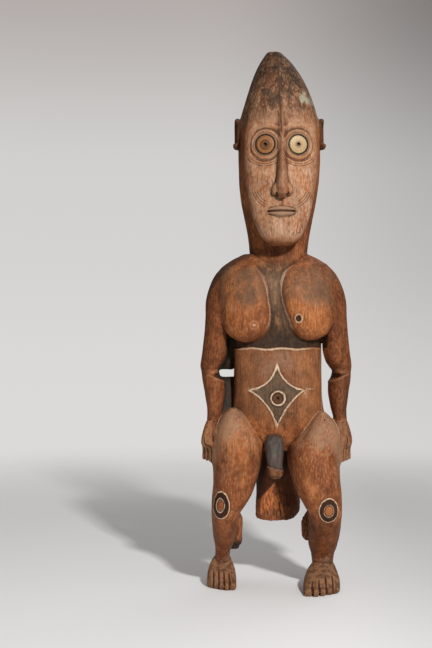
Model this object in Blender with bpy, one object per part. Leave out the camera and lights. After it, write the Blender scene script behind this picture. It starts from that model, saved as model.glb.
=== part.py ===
"""A standing male figure, carved from one log, with shell-disc eyes set in dark paste.

Frame: metres, +Z up. The figure faces -Y and stands on the ground plane z = 0. "Left" and
"right" are the figure's own, so its left side is at +X. The stump behind its legs is what is
left of the stool that was cut from the same log.

Nearly every form is a column, so nearly every form is a loft: a few named sections up the
log, each with its side-to-side half width and the y of its front and back.
"""

import math
from collections import namedtuple

import bmesh
import bpy
import numpy as np
from mathutils import Matrix, Vector

# Driving dimensions
HEIGHT = 1.200  # ground to crown
CHIN_Z = 0.758
CROWN_Z = HEIGHT - 0.003
EYE_Z = (CHIN_Z + CROWN_Z) / 2  # the eyes sit half way up the head
NOSE_BASE_Z = (CHIN_Z + EYE_Z) / 2  # the nose ends half way from eyes to chin
MOUTH_Z = NOSE_BASE_Z - (NOSE_BASE_Z - CHIN_Z) / 3
FACE_X = 0.008  # the face's middle line, a little off the log's centre
FACE_WIDTH = 0.168
EYE_SPACING = FACE_WIDTH * 0.44
SEAT_GAP = 0.0003  # between an inlay and what it sits in

# Eye inlays
SOCKET_RADIUS = 0.0268
SOCKET_DEPTH = 0.0075
EYE_TURN = math.radians(13)  # each eye faces this much outwards
EYE_FRONT = -0.0885  # y of the socket's mouth
SHELL_RADIUS = 0.0195
SHELL_THICKNESS = 0.0048
SHELL_DOME = 0.0014
SHELL_HOLE_RADIUS = 0.0042
PASTE_THICKNESS = 0.0042
EYE_STEPS = 18  # flats round a turned piece

# Colours: red-brown wood, cream shell, near-black paste
WOOD = (0.30, 0.13, 0.07)
SHELL = (0.80, 0.66, 0.42)
PASTE = (0.06, 0.055, 0.045)

# One section of an upright form: its height, its middle in x, its half width, and the y of
# its front and back.
Section = namedtuple("Section", "z x half front back")
# One section of a form that lies along y, such as a foot.
Slice = namedtuple("Slice", "y x half low high")

HEAD = [
    Section(0.690, 0.006, 0.060, -0.046, 0.058),
    Section(0.738, 0.006, 0.064, -0.047, 0.066),
    Section(0.776, 0.006, 0.068, -0.050, 0.072),
    Section(0.821, 0.006, 0.076, -0.060, 0.078),
    Section(0.866, 0.006, 0.085, -0.070, 0.084),
    Section(0.911, 0.007, 0.090, -0.077, 0.088),
    Section(0.980, 0.0075, 0.092, -0.080, 0.090),
    Section(1.046, 0.007, 0.087, -0.076, 0.087),
    Section(1.091, 0.0065, 0.0745, -0.067, 0.078),
    Section(1.136, 0.004, 0.0575, -0.052, 0.064),
    Section(1.160, 0.001, 0.045, -0.040, 0.053),
    Section(1.182, -0.002, 0.030, -0.026, 0.038),
    Section(CROWN_Z, -0.005, 0.016, -0.013, 0.024),
]
FACE = [
    Section(CHIN_Z, FACE_X, 0.018, -0.088, -0.052),
    Section(CHIN_Z + 0.009, FACE_X, 0.034, -0.095, -0.040),
    Section(CHIN_Z + 0.035, FACE_X, 0.052, -0.098, -0.030),
    Section(0.838, FACE_X, 0.067, -0.096, -0.020),
    Section(0.888, FACE_X, 0.077, -0.094, -0.010),
    Section(0.938, FACE_X, 0.083, -0.092, 0.000),
    Section(EYE_Z, FACE_X, FACE_WIDTH / 2, -0.090, 0.000),
    Section(1.040, FACE_X, 0.077, -0.082, 0.000),
    Section(1.100, 0.006, 0.058, -0.067, 0.000),
    Section(1.150, 0.002, 0.036, -0.047, 0.000),
]
NOSE = [
    Section(NOSE_BASE_Z - 0.007, FACE_X, 0.007, -0.110, -0.085),
    Section(NOSE_BASE_Z + 0.003, FACE_X, 0.014, -0.1205, -0.080),
    Section(NOSE_BASE_Z + 0.022, FACE_X, 0.0135, -0.119, -0.078),
    Section(NOSE_BASE_Z + 0.050, FACE_X, 0.0105, -0.113, -0.078),
    Section(EYE_Z - 0.010, FACE_X, 0.0090, -0.103, -0.070),
    Section(EYE_Z + 0.030, FACE_X, 0.0085, -0.094, -0.065),
    Section(EYE_Z + 0.085, FACE_X - 0.002, 0.006, -0.080, -0.055),
]
NOSE_WING = [
    Section(NOSE_BASE_Z - 0.001, 0.0150, 0.0045, -0.106, -0.088),
    Section(NOSE_BASE_Z + 0.006, 0.0155, 0.0080, -0.111, -0.084),
    Section(NOSE_BASE_Z + 0.015, 0.0135, 0.0080, -0.110, -0.082),
    Section(NOSE_BASE_Z + 0.026, 0.0095, 0.0050, -0.104, -0.082),
]
LIP_HALF_WIDTH = 0.031
LIP_FRONT = -0.1045
LIP_DEPTH = 0.012  # half its depth in the middle
LIP_CORNER_THINNING = 0.85  # share of that depth lost at the corners
LIP_CORNER_BACK = 0.005  # how far the corners lie back
LIP_CORNER_DROP = 0.5  # share of a lip's rise lost at the corners
LIP_CORNER_BLUNTNESS = 0.05  # share of a lip's height left at the corners
LIP_STATIONS = (-1, -0.7, -0.25, 0.25, 0.7, 1)  # from corner to corner
LIP_HEIGHTS = {"upper": (0.0052, 0.0056), "lower": (-0.0056, 0.0064)}  # rise, half thickness

TORSO = [
    Section(0.306, 0.000, 0.060, -0.040, 0.062),
    Section(0.330, 0.000, 0.096, -0.056, 0.084),
    Section(0.368, 0.002, 0.112, -0.066, 0.088),
    Section(0.400, 0.003, 0.103, -0.073, 0.072),
    Section(0.430, 0.003, 0.099, -0.075, 0.060),
    Section(0.480, 0.003, 0.098, -0.073, 0.055),
    Section(0.535, 0.003, 0.098, -0.068, 0.061),
    Section(0.570, 0.002, 0.106, -0.069, 0.069),
    Section(0.610, 0.001, 0.130, -0.071, 0.077),
    Section(0.650, 0.000, 0.147, -0.069, 0.079),
    Section(0.686, 0.000, 0.142, -0.061, 0.073),
    Section(0.709, 0.000, 0.127, -0.051, 0.065),
    Section(0.731, 0.000, 0.099, -0.037, 0.051),
    Section(0.744, 0.000, 0.072, -0.026, 0.040),
]
BREAST_TURN = 0.26  # how fast each breast falls back towards the arm
RIGHT_BREAST = [
    Section(0.541, -0.060, 0.012, -0.064, -0.020),
    Section(0.546, -0.062, 0.030, -0.073, -0.016),
    Section(0.558, -0.065, 0.045, -0.081, -0.013),
    Section(0.582, -0.067, 0.055, -0.087, -0.012),
    Section(0.612, -0.069, 0.058, -0.088, -0.012),
    Section(0.652, -0.073, 0.058, -0.083, -0.008),
    Section(0.688, -0.077, 0.051, -0.070, -0.004),
    Section(0.716, -0.080, 0.034, -0.052, 0.000),
]
LEFT_BREAST = [
    Section(0.546, 0.076, 0.011, -0.064, -0.020),
    Section(0.551, 0.077, 0.027, -0.073, -0.016),
    Section(0.564, 0.079, 0.042, -0.081, -0.013),
    Section(0.590, 0.078, 0.050, -0.087, -0.012),
    Section(0.622, 0.074, 0.055, -0.088, -0.012),
    Section(0.662, 0.070, 0.059, -0.082, -0.008),
    Section(0.698, 0.073, 0.053, -0.067, -0.004),
    Section(0.724, 0.078, 0.034, -0.048, 0.000),
]
UPPER_ARM = [
    Section(0.712, 0.098, 0.020, -0.020, 0.036),
    Section(0.686, 0.109, 0.034, -0.038, 0.054),
    Section(0.641, 0.1180, 0.0395, -0.048, 0.062),
    Section(0.600, 0.1245, 0.0345, -0.048, 0.060),
    Section(0.560, 0.1330, 0.0290, -0.042, 0.053),
    Section(0.529, 0.1355, 0.0300, -0.038, 0.048),
    Section(0.505, 0.1405, 0.0290, -0.034, 0.045),
    Section(0.487, 0.1470, 0.0240, -0.028, 0.041),
    Section(0.474, 0.1500, 0.0130, -0.012, 0.030),
]
FOREARM = [
    Section(0.490, 0.147, 0.012, -0.036, 0.018),
    Section(0.480, 0.1455, 0.022, -0.052, 0.034),
    Section(0.455, 0.1405, 0.0240, -0.060, 0.030),
    Section(0.430, 0.1375, 0.0220, -0.061, 0.020),
    Section(0.405, 0.1375, 0.0180, -0.058, 0.006),
    Section(0.380, 0.1400, 0.0150, -0.055, -0.006),
    Section(0.362, 0.1430, 0.0145, -0.056, -0.010),
]
# Wood left standing behind the slot between the right arm and the trunk. The two webs leave a
# hole between them, behind the elbow.
RIGHT_WEBS = {
    "lower": [
        Section(0.376, -0.118, 0.020, -0.026, 0.008),
        Section(0.400, -0.114, 0.020, -0.016, 0.020),
        Section(0.440, -0.111, 0.020, -0.006, 0.030),
        Section(0.468, -0.112, 0.018, 0.004, 0.028),
    ],
    "upper": [
        Section(0.484, -0.112, 0.018, 0.010, 0.034),
        Section(0.512, -0.109, 0.019, 0.002, 0.042),
        Section(0.556, -0.108, 0.019, -0.004, 0.048),
        Section(0.590, -0.110, 0.019, -0.004, 0.050),
    ],
}
# The hand hangs with its back turned half way to the front: fingers stand in a row from
# FINGER_ROW's first point, by the thigh, to its second, outside and behind.
PALM = [
    Section(0.374, 0.1420, 0.0140, -0.056, -0.010),
    Section(0.352, 0.1455, 0.0180, -0.062, -0.004),
    Section(0.332, 0.1490, 0.0190, -0.064, -0.002),
    Section(0.316, 0.1510, 0.0165, -0.060, -0.004),
]
FINGER_ROW = (Vector((0.139, -0.056, 0)), Vector((0.161, -0.012, 0)))
FINGERS = 4
FINGER_RADIUS = 0.0068
FINGER_TOP_Z = 0.330
FINGER_TIP_Z = 0.284
FINGER_TIP_DROP = 0.005  # the middle fingers reach this much lower than the outer ones
FINGER_ARCH_START = 0.35  # the row of tips starts this far along an arch, in row lengths
FINGER_ARCH_LENGTH = 1.7
FINGER_ROOT_IN = 0.002  # a finger's root stands this far towards the trunk from its row
FINGER_TIP_OUT = 0.0015  # and its tip this far out
DIGIT_WIDTHS = [(0.0, 0.45), (0.14, 0.95), (0.86, 0.95), (1.0, 0.45)]  # share, of radius
THUMB_TOP = Vector((0.134, -0.058, 0.356))
THUMB_TIP = Vector((0.1335, -0.068, 0.318))

RIGHT_LEG = [
    Section(0.401, -0.097, 0.007, -0.073, -0.030),
    Section(0.388, -0.097, 0.022, -0.081, 0.000),
    Section(0.366, -0.096, 0.038, -0.090, 0.042),
    Section(0.344, -0.092, 0.0500, -0.098, 0.062),
    Section(0.321, -0.0860, 0.0575, -0.103, 0.066),
    Section(0.283, -0.0880, 0.0545, -0.106, 0.058),
    Section(0.236, -0.0940, 0.0470, -0.108, 0.034),
    Section(0.212, -0.1000, 0.0430, -0.109, 0.016),
    Section(0.189, -0.1080, 0.0365, -0.108, 0.002),
    Section(0.169, -0.1140, 0.0305, -0.101, 0.000),
    Section(0.146, -0.1155, 0.0280, -0.087, 0.010),
    Section(0.120, -0.1160, 0.0255, -0.068, 0.024),
    Section(0.097, -0.1170, 0.0210, -0.047, 0.030),
    Section(0.074, -0.1200, 0.0165, -0.022, 0.036),
    Section(0.040, -0.1215, 0.0170, -0.006, 0.042),
]
LEFT_LEG = [
    Section(0.393, 0.106, 0.007, -0.073, -0.030),
    Section(0.381, 0.104, 0.022, -0.081, 0.000),
    Section(0.360, 0.101, 0.038, -0.091, 0.040),
    Section(0.339, 0.094, 0.0500, -0.098, 0.060),
    Section(0.317, 0.0850, 0.0590, -0.104, 0.066),
    Section(0.281, 0.0820, 0.0575, -0.108, 0.058),
    Section(0.250, 0.0850, 0.0540, -0.110, 0.040),
    Section(0.218, 0.0920, 0.0490, -0.112, 0.020),
    Section(0.186, 0.1005, 0.0405, -0.111, 0.002),
    Section(0.1665, 0.1055, 0.0355, -0.104, -0.002),
    Section(0.146, 0.1055, 0.0350, -0.092, 0.008),
    Section(0.124, 0.1050, 0.0345, -0.077, 0.018),
    Section(0.0945, 0.1030, 0.0315, -0.057, 0.018),
    Section(0.074, 0.1030, 0.0255, -0.043, 0.014),
    Section(0.040, 0.1040, 0.0215, -0.036, 0.012),
]
RIGHT_FOOT = [
    Slice(0.068, -0.120, 0.012, -0.012, 0.022),
    Slice(0.054, -0.120, 0.021, -0.020, 0.046),
    Slice(0.028, -0.121, 0.024, -0.024, 0.066),
    Slice(0.002, -0.122, 0.029, -0.024, 0.059),
    Slice(-0.016, -0.122, 0.032, -0.020, 0.041),
    Slice(-0.032, -0.117, 0.027, -0.014, 0.028),
    Slice(-0.044, -0.110, 0.018, -0.006, 0.018),
]
LEFT_FOOT = [
    Slice(0.034, 0.104, 0.013, -0.012, 0.022),
    Slice(0.020, 0.104, 0.023, -0.020, 0.044),
    Slice(-0.006, 0.104, 0.028, -0.024, 0.062),
    Slice(-0.034, 0.102, 0.033, -0.024, 0.057),
    Slice(-0.062, 0.101, 0.038, -0.020, 0.041),
    Slice(-0.082, 0.095, 0.033, -0.014, 0.028),
    Slice(-0.096, 0.086, 0.022, -0.006, 0.018),
]
TOES = 5
# The row of toes on a foot: its middle in x, half its width between the outer toes' middle
# lines, and the y of the longest tip.
ToeRow = namedtuple("ToeRow", "x half tip_y")
RIGHT_TOES = ToeRow(-0.123, 0.0240, -0.058)
LEFT_TOES = ToeRow(0.101, 0.0300, -0.115)
TOE_LENGTH = 0.030
TOE_SWEEP = 0.045  # scales how far the outer toes stand back from the longest
TOE_SWEEP_POWER = 1.6
LONGEST_TOE = 0.2  # its place along the row, from the big toe at 0 to the small toe at 1
BIG_TOE_RADIUS = 0.0095
SMALL_TOE_RADIUS = 0.0068
TOE_HEIGHTS = (0.0125, 0.0070)  # of the middle line, at the root and at the tip

PENIS = [
    Section(0.342, -0.002, 0.018, -0.086, -0.045),
    Section(0.330, -0.002, 0.0225, -0.102, -0.052),
    Section(0.305, -0.002, 0.0220, -0.110, -0.066),
    Section(0.283, -0.001, 0.0190, -0.112, -0.072),
    Section(0.277, 0.000, 0.0180, -0.114, -0.072),
    Section(0.262, 0.001, 0.0165, -0.112, -0.074),
    Section(0.252, 0.002, 0.0080, -0.104, -0.082),
]
STOOL_STUMP = [
    Section(0.139, 0.008, 0.053, 0.024, 0.1195),
    Section(0.200, 0.008, 0.052, 0.023, 0.1180),
    Section(0.280, 0.006, 0.050, 0.019, 0.1130),
    Section(0.340, 0.004, 0.047, 0.014, 0.1020),
    Section(0.385, 0.002, 0.040, 0.010, 0.0800),
]
# What is left of the struts that tied the calves to the stool.
RIGHT_STRUT = [
    Section(0.088, -0.0930, 0.0110, 0.000, 0.040),
    Section(0.098, -0.0900, 0.0150, -0.004, 0.046),
    Section(0.142, -0.0900, 0.0155, -0.006, 0.044),
    Section(0.168, -0.0960, 0.0120, -0.006, 0.030),
]
LEFT_STRUT = [
    Section(0.098, 0.0790, 0.0120, 0.000, 0.034),
    Section(0.108, 0.0740, 0.0150, -0.004, 0.042),
    Section(0.136, 0.0740, 0.0160, -0.006, 0.042),
    Section(0.166, 0.0840, 0.0130, -0.006, 0.028),
]
BUTTOCK = [
    Section(0.286, 0.048, 0.024, 0.016, 0.068),
    Section(0.306, 0.050, 0.044, 0.006, 0.088),
    Section(0.342, 0.050, 0.053, 0.000, 0.097),
    Section(0.382, 0.049, 0.050, 0.000, 0.090),
    Section(0.424, 0.046, 0.032, 0.000, 0.062),
]
EAR_CENTRE = Vector((0.0940, -0.004, 1.013))  # from the head's middle plane
EAR_RADII = (0.017, 0.029)  # of the rim's middle line, along y and z
EAR_TUBE = 0.0068
EAR_CURL = math.radians(125)  # the rim runs this far each way from its rearmost point
LOBE_LENGTH = 2  # how many of the rim's steps belong to the lobe
LOBE_FLARE = 0.006  # how far the lobe stands out
EAR_PLATE = [
    Section(0.981, 0.0880, 0.0060, -0.012, 0.006),
    Section(0.992, 0.0900, 0.0075, -0.016, 0.012),
    Section(1.013, 0.0900, 0.0080, -0.018, 0.014),
    Section(1.034, 0.0880, 0.0080, -0.016, 0.012),
    Section(1.045, 0.0860, 0.0060, -0.010, 0.006),
]
HEAD_X = 0.0075  # the head's middle plane


def steady_curve(at, keys, values):
    """Values read from a smooth curve through the keys that never overshoots them."""
    step = np.diff(keys)
    slope = np.diff(values) / step
    tangent = np.empty(len(keys))
    tangent[0], tangent[-1] = slope[0], slope[-1]
    for i in range(1, len(keys) - 1):
        before, after = slope[i - 1], slope[i]
        turns = before * after <= 0
        tangent[i] = 0 if turns else 2 * before * after / (before + after)
    span = np.clip(np.searchsorted(keys, at) - 1, 0, len(step) - 1)
    t = (at - keys[span]) / step[span]
    low, high = values[span], values[span + 1]
    rise_low, rise_high = tangent[span] * step[span], tangent[span + 1] * step[span]
    return (
        (1 + 2 * t) * (1 - t) ** 2 * low
        + t * (1 - t) ** 2 * rise_low
        + t * t * (3 - 2 * t) * high
        + t * t * (t - 1) * rise_high
    )


def between(keys, rings):
    """The keyed sections resampled as `rings` sections, closer together near both ends."""
    table = np.array(sorted(keys), float)
    share = np.linspace(0, 1, rings)
    eased = 0.5 - 0.5 * np.cos(math.pi * share)
    at = table[0, 0] + (table[-1, 0] - table[0, 0]) * (0.55 * share + 0.45 * eased)
    fields = [steady_curve(at, table[:, 0], column) for column in table.T[1:]]
    return np.column_stack([at, *fields])


def oval(sides, squareness):
    """Points of a unit oval, from a circle at 2 towards a rounded square above it."""
    points = []
    for i in range(sides):
        turn = 2 * math.pi * i / sides
        c, s = math.cos(turn), math.sin(turn)
        points.append(
            (
                math.copysign(abs(c) ** (2 / squareness), c),
                math.copysign(abs(s) ** (2 / squareness), s),
            )
        )
    return points


def skin(name, rings):
    """A closed mesh object over rings of points, each ring capped at the ends."""
    mesh = bmesh.new()
    loops = [[mesh.verts.new(p) for p in ring] for ring in rings]
    for lower, upper in zip(loops, loops[1:]):
        for i in range(len(lower)):
            j = (i + 1) % len(lower)
            mesh.faces.new((lower[i], lower[j], upper[j], upper[i]))
    mesh.faces.new(loops[0][::-1])
    mesh.faces.new(loops[-1])
    bmesh.ops.recalc_face_normals(mesh, faces=mesh.faces)
    data = bpy.data.meshes.new(name)
    mesh.to_mesh(data)
    mesh.free()
    return bpy.data.objects.new(name, data)


def upright(name, keys, rings, sides, squareness=2.2, side=1, turn=0):
    """A loft up the log. side -1 mirrors it to the figure's right. turn slants it, so that
    it falls back this much for each metre along x."""
    outline = oval(sides, squareness)
    loops = []
    for z, x, half, front, back in between(keys, rings):
        middle, reach = (front + back) / 2, (back - front) / 2
        ring = [(half * u, middle + reach * v + turn * half * u) for u, v in outline]
        loops.append([(side * (x + dx), y, z) for dx, y in ring])
    return skin(name, loops)


def lying(name, keys, rings, sides, squareness=2.3):
    """A loft along y, such as a foot."""
    outline = oval(sides, squareness)
    loops = []
    for y, x, half, low, high in between(keys, rings):
        middle, reach = (low + high) / 2, (high - low) / 2
        loops.append([(x + half * u, y, middle + reach * v) for u, v in outline])
    return skin(name, loops)


def digit(name, path, radii, sides):
    """A finger, toe or ear rim: round rings square to a path that never runs along x."""
    outline = oval(sides, 2)
    loops = []
    for i, (point, radius) in enumerate(zip(path, radii)):
        ahead = (path[min(i + 1, len(path) - 1)] - path[max(i - 1, 0)]).normalized()
        down = ahead.cross(Vector((1, 0, 0))).normalized()
        across = down.cross(ahead)
        loops.append([point + radius * (u * across + v * down) for u, v in outline])
    return skin(name, loops)


def capsule(name, start, end, radius, sides=6):
    """A round-ended digit from start to end."""
    path = [start.lerp(end, share) for share, _ in DIGIT_WIDTHS]
    return digit(name, path, [radius * width for _, width in DIGIT_WIDTHS], sides)


def fingers(side):
    """A hand's digits: four fingers in a row turned half way between facing front and
    facing out, and the thumb lying in front of them."""
    mirror = Matrix.Diagonal((side, 1, 1))
    first, last = FINGER_ROW
    made = []
    for i in range(FINGERS):
        share = i / (FINGERS - 1)
        place = first.lerp(last, share)
        arch = (share + FINGER_ARCH_START) / FINGER_ARCH_LENGTH
        drop = FINGER_TIP_DROP * math.sin(math.pi * arch)
        top = Vector((place.x - FINGER_ROOT_IN, place.y, FINGER_TOP_Z))
        tip = Vector((place.x + FINGER_TIP_OUT, place.y, FINGER_TIP_Z - drop))
        made.append(capsule(f"finger {side} {i}", mirror @ top, mirror @ tip, FINGER_RADIUS))
    thumb = capsule(f"thumb {side}", mirror @ THUMB_TOP, mirror @ THUMB_TIP, FINGER_RADIUS)
    return [*made, thumb]


def toes(name, row, inner_side):
    """Five toes across the front of a foot. inner_side is the sign of x towards the other
    foot, where the big toe stands."""
    made = []
    for i in range(TOES):
        share = i / (TOES - 1)
        radius = BIG_TOE_RADIUS + (SMALL_TOE_RADIUS - BIG_TOE_RADIUS) * share
        x = row.x + inner_side * row.half * (1 - 2 * share)
        tip_y = row.tip_y + TOE_SWEEP * abs(share - LONGEST_TOE) ** TOE_SWEEP_POWER
        root = Vector((x, tip_y + TOE_LENGTH, TOE_HEIGHTS[0]))
        tip = Vector((x, tip_y, TOE_HEIGHTS[1]))
        made.append(capsule(f"{name} {i}", root, tip, radius))
    return made


def ear_rim(side):
    """A rim that curls round from the top of the ear to the lobe, open to the front."""
    path, radii = [], []
    steps = 8
    for i in range(steps + 1):
        turn = EAR_CURL * (2 * i / steps - 1)
        lobe = max(0, i - steps + LOBE_LENGTH) / LOBE_LENGTH
        x = HEAD_X + side * (EAR_CENTRE.x + LOBE_FLARE * lobe)
        y = EAR_CENTRE.y + EAR_RADII[0] * math.cos(turn)
        z = EAR_CENTRE.z - EAR_RADII[1] * math.sin(turn)
        path.append(Vector((x, y, z)))
        radii.append(EAR_TUBE * (0.6 if i in (0, steps) else 1.0))
    return digit(f"ear rim {side}", path, radii, 7)


def ear_plate(side):
    """The flat of an ear, inside its rim."""
    keys = [key._replace(x=key.x + side * HEAD_X) for key in EAR_PLATE]
    return upright(f"ear plate {side}", keys, 6, 10, 2.2, side)


def nose_wing(side):
    """One nostril's wing."""
    keys = [key._replace(x=key.x + side * FACE_X) for key in NOSE_WING]
    return upright(f"nose wing {side}", keys, 5, 8, 2.0, side)


def lip(name, rise, thickness):
    """A closed lip: a flat spindle across the face, lying back towards its corners."""
    outline = oval(8, 2)
    loops = []
    for share in LIP_STATIONS:
        x = FACE_X + LIP_HALF_WIDTH * share
        depth = LIP_DEPTH * (1 - LIP_CORNER_THINNING * abs(share) ** 3)
        y = LIP_FRONT + depth + LIP_CORNER_BACK * share * share
        reach = thickness * (1 + LIP_CORNER_BLUNTNESS - share * share)
        z = MOUTH_Z + rise * (1 - LIP_CORNER_DROP * share * share)
        loops.append([(x, y + depth * u, z + reach * v) for u, v in outline])
    return skin(f"{name} lip", loops)


def eye_frame(side):
    """Placement of an eye: z runs out of the face, from the socket's floor."""
    turn = Matrix.Rotation(side * EYE_TURN, 4, "Z") @ Matrix.Rotation(math.pi / 2, 4, "X")
    mouth = Vector((FACE_X + side * EYE_SPACING / 2, EYE_FRONT, EYE_Z))
    return Matrix.Translation(mouth) @ turn @ Matrix.Translation((0, 0, -SOCKET_DEPTH))


def turned(name, profile, steps, frame):
    """A closed solid turned about its frame's z axis from (radius, height) points."""
    mesh = bmesh.new()
    points = [mesh.verts.new((radius, 0, height)) for radius, height in profile]
    edges = [mesh.edges.new(pair) for pair in zip(points, points[1:])]
    if profile[0][0] > 0:
        edges.append(mesh.edges.new((points[-1], points[0])))
    bmesh.ops.spin(
        mesh,
        geom=points + edges,
        axis=(0, 0, 1),
        cent=(0, 0, 0),
        steps=steps,
        angle=2 * math.pi,
        use_merge=True,
    )
    bmesh.ops.remove_doubles(mesh, verts=mesh.verts, dist=1e-6)
    bmesh.ops.recalc_face_normals(mesh, faces=mesh.faces)
    data = bpy.data.meshes.new(name)
    mesh.to_mesh(data)
    mesh.free()
    made = bpy.data.objects.new(name, data)
    made.matrix_world = frame
    return made


def shell_disc(name, side):
    """The polished top of a cone shell, a low dome with a hole ground in its middle."""
    radius, hole, thick = SHELL_RADIUS, SHELL_HOLE_RADIUS, SHELL_THICKNESS
    profile = [(hole, SEAT_GAP), (radius, SEAT_GAP), (radius, thick - 0.0012)]
    for share in (0.93, 0.75, 0.5, 0.25):
        across = hole + (radius - hole) * share
        profile.append((across, thick + SHELL_DOME * (1 - share * share)))
    profile.append((hole, thick + SHELL_DOME * 0.8))
    return turned(name, profile, EYE_STEPS, eye_frame(side))


def paste_ring(name, side):
    """The dark paste that fills the socket round the shell."""
    outer, inner = SOCKET_RADIUS - SEAT_GAP, SHELL_RADIUS + SEAT_GAP
    profile = [
        (inner, SEAT_GAP),
        (outer, SEAT_GAP),
        (outer, PASTE_THICKNESS - 0.0008),
        (inner + 0.0012, PASTE_THICKNESS),
        (inner, PASTE_THICKNESS - 0.0004),
    ]
    return turned(name, profile, EYE_STEPS, eye_frame(side))


def socket_cutter(side):
    """What is bored out of the head for one eye."""
    depth = SOCKET_DEPTH + 0.030
    profile = [(0, 0), (SOCKET_RADIUS, 0), (SOCKET_RADIUS, depth), (0, depth)]
    return turned(f"socket {side}", profile, EYE_STEPS, eye_frame(side))


def block(name, low, high):
    """A plain box between two corners, used as a cutter."""
    mesh = bmesh.new()
    bmesh.ops.create_cube(mesh, size=1)
    low, high = Vector(low), Vector(high)
    size = Matrix.Diagonal(high - low).to_4x4()
    mesh.transform(Matrix.Translation((low + high) / 2) @ size)
    data = bpy.data.meshes.new(name)
    mesh.to_mesh(data)
    mesh.free()
    return bpy.data.objects.new(name, data)


def carved_forms():
    """Every swelling of the log that is united with the torso."""
    forms = [
        upright("head", HEAD, 15, 22, 2.15),
        upright("face", FACE, 12, 22, 2.3),
        upright("nose", NOSE, 8, 10, 2.0),
        *(lip(name, *heights) for name, heights in LIP_HEIGHTS.items()),
        upright("right breast", RIGHT_BREAST, 11, 18, 2.2, turn=-BREAST_TURN),
        upright("left breast", LEFT_BREAST, 11, 18, 2.2, turn=BREAST_TURN),
        upright("right leg", RIGHT_LEG, 16, 18, 2.5),
        upright("left leg", LEFT_LEG, 16, 18, 2.5),
        upright("penis", PENIS, 9, 14, 2.2),
        upright("stool stump", STOOL_STUMP, 6, 18, 2.4),
        upright("right strut", RIGHT_STRUT, 5, 10, 3.2),
        upright("left strut", LEFT_STRUT, 5, 10, 3.2),
        *(upright(f"{name} web", keys, 5, 10, 2.6) for name, keys in RIGHT_WEBS.items()),
        lying("right foot", RIGHT_FOOT, 9, 16),
        lying("left foot", LEFT_FOOT, 9, 16),
    ]
    forms += toes("right toe", RIGHT_TOES, 1)
    forms += toes("left toe", LEFT_TOES, -1)
    for side in (-1, 1):
        forms.append(upright(f"upper arm {side}", UPPER_ARM, 14, 16, 2.2, side))
        forms.append(upright(f"forearm {side}", FOREARM, 10, 14, 2.2, side))
        forms.append(upright(f"palm {side}", PALM, 5, 10, 2.6, side))
        forms.append(upright(f"buttock {side}", BUTTOCK, 7, 16, 2.1, side))
        forms += [ear_rim(side), ear_plate(side), nose_wing(side)]
        forms += fingers(side)
    return forms


def helpers(name, objects):
    """A collection of shapes that only a Boolean reads."""
    collection = bpy.data.collections.new(name)
    bpy.context.scene.collection.children.link(collection)
    for made in objects:
        collection.objects.link(made)
        made.hide_render = True
        made.display_type = "WIRE"
    return collection


def boolean(target, operation, collection):
    """Joins a collection to the target, or cuts it away, with the exact solver."""
    modifier = target.modifiers.new(f"{operation} {collection.name}", "BOOLEAN")
    modifier.operation = operation
    modifier.solver = "EXACT"
    modifier.operand_type = "COLLECTION"
    modifier.collection = collection


def finish(name, colour, roughness):
    """A Principled material of one colour."""
    material = bpy.data.materials.new(name)
    material.use_nodes = True
    shader = material.node_tree.nodes["Principled BSDF"]
    shader.inputs["Base Color"].default_value = (*colour, 1)
    shader.inputs["Roughness"].default_value = roughness
    shader.inputs["Metallic"].default_value = 0
    return material


def place(made, material, parent):
    """Shows an object as one of the work's pieces."""
    bpy.context.scene.collection.objects.link(made)
    made.data.materials.append(material)
    made.parent = parent
    made.data.shade_smooth()
    made.data.set_sharp_from_angle(angle=math.radians(40))


def carve_figure():
    """The wooden figure: torso, every other form united with it, then what is cut away."""
    figure = upright("figure", TORSO, 18, 28, 2.35)
    boolean(figure, "UNION", helpers("carved forms", carved_forms()))
    cuts = [socket_cutter(-1), socket_cutter(1), block("ground", (-1, -1, -1), (1, 1, 0))]
    boolean(figure, "DIFFERENCE", helpers("cuts", cuts))
    return figure


def main():
    """Builds the figure and its four eye pieces."""
    for old in list(bpy.data.objects):
        bpy.data.objects.remove(old)
    root = bpy.data.objects.new("standing figure", None)
    bpy.context.scene.collection.objects.link(root)
    place(carve_figure(), finish("wood", WOOD, 0.6), root)
    shell, paste = finish("shell", SHELL, 0.35), finish("paste", PASTE, 0.7)
    for label, side in (("right", -1), ("left", 1)):
        place(shell_disc(f"{label}_eye_shell", side), shell, root)
        place(paste_ring(f"{label}_eye_paste", side), paste, root)


main()
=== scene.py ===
"""A standing male figure carved from one log, with shell-disc eyes set in dark paste.

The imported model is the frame: metres, +Z up, the figure faces -Y, and its left side is at +X.
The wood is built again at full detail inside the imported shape: the same sections are lofted
finely, fused into one skin, softened as a knife leaves them, and given the low relief of the
carving. What is painted is worked out by the same formulas that carve it, so that a painted
outline lies on its own ridge.
"""

import logging
import math
from collections.abc import Callable, Iterable, Sequence
from dataclasses import dataclass, field
from enum import Enum
from typing import NamedTuple, Union

import bmesh
import bpy
import numpy as np
from mathutils import Matrix, Vector
from mathutils.bvhtree import BVHTree
from mathutils.kdtree import KDTree


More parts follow.
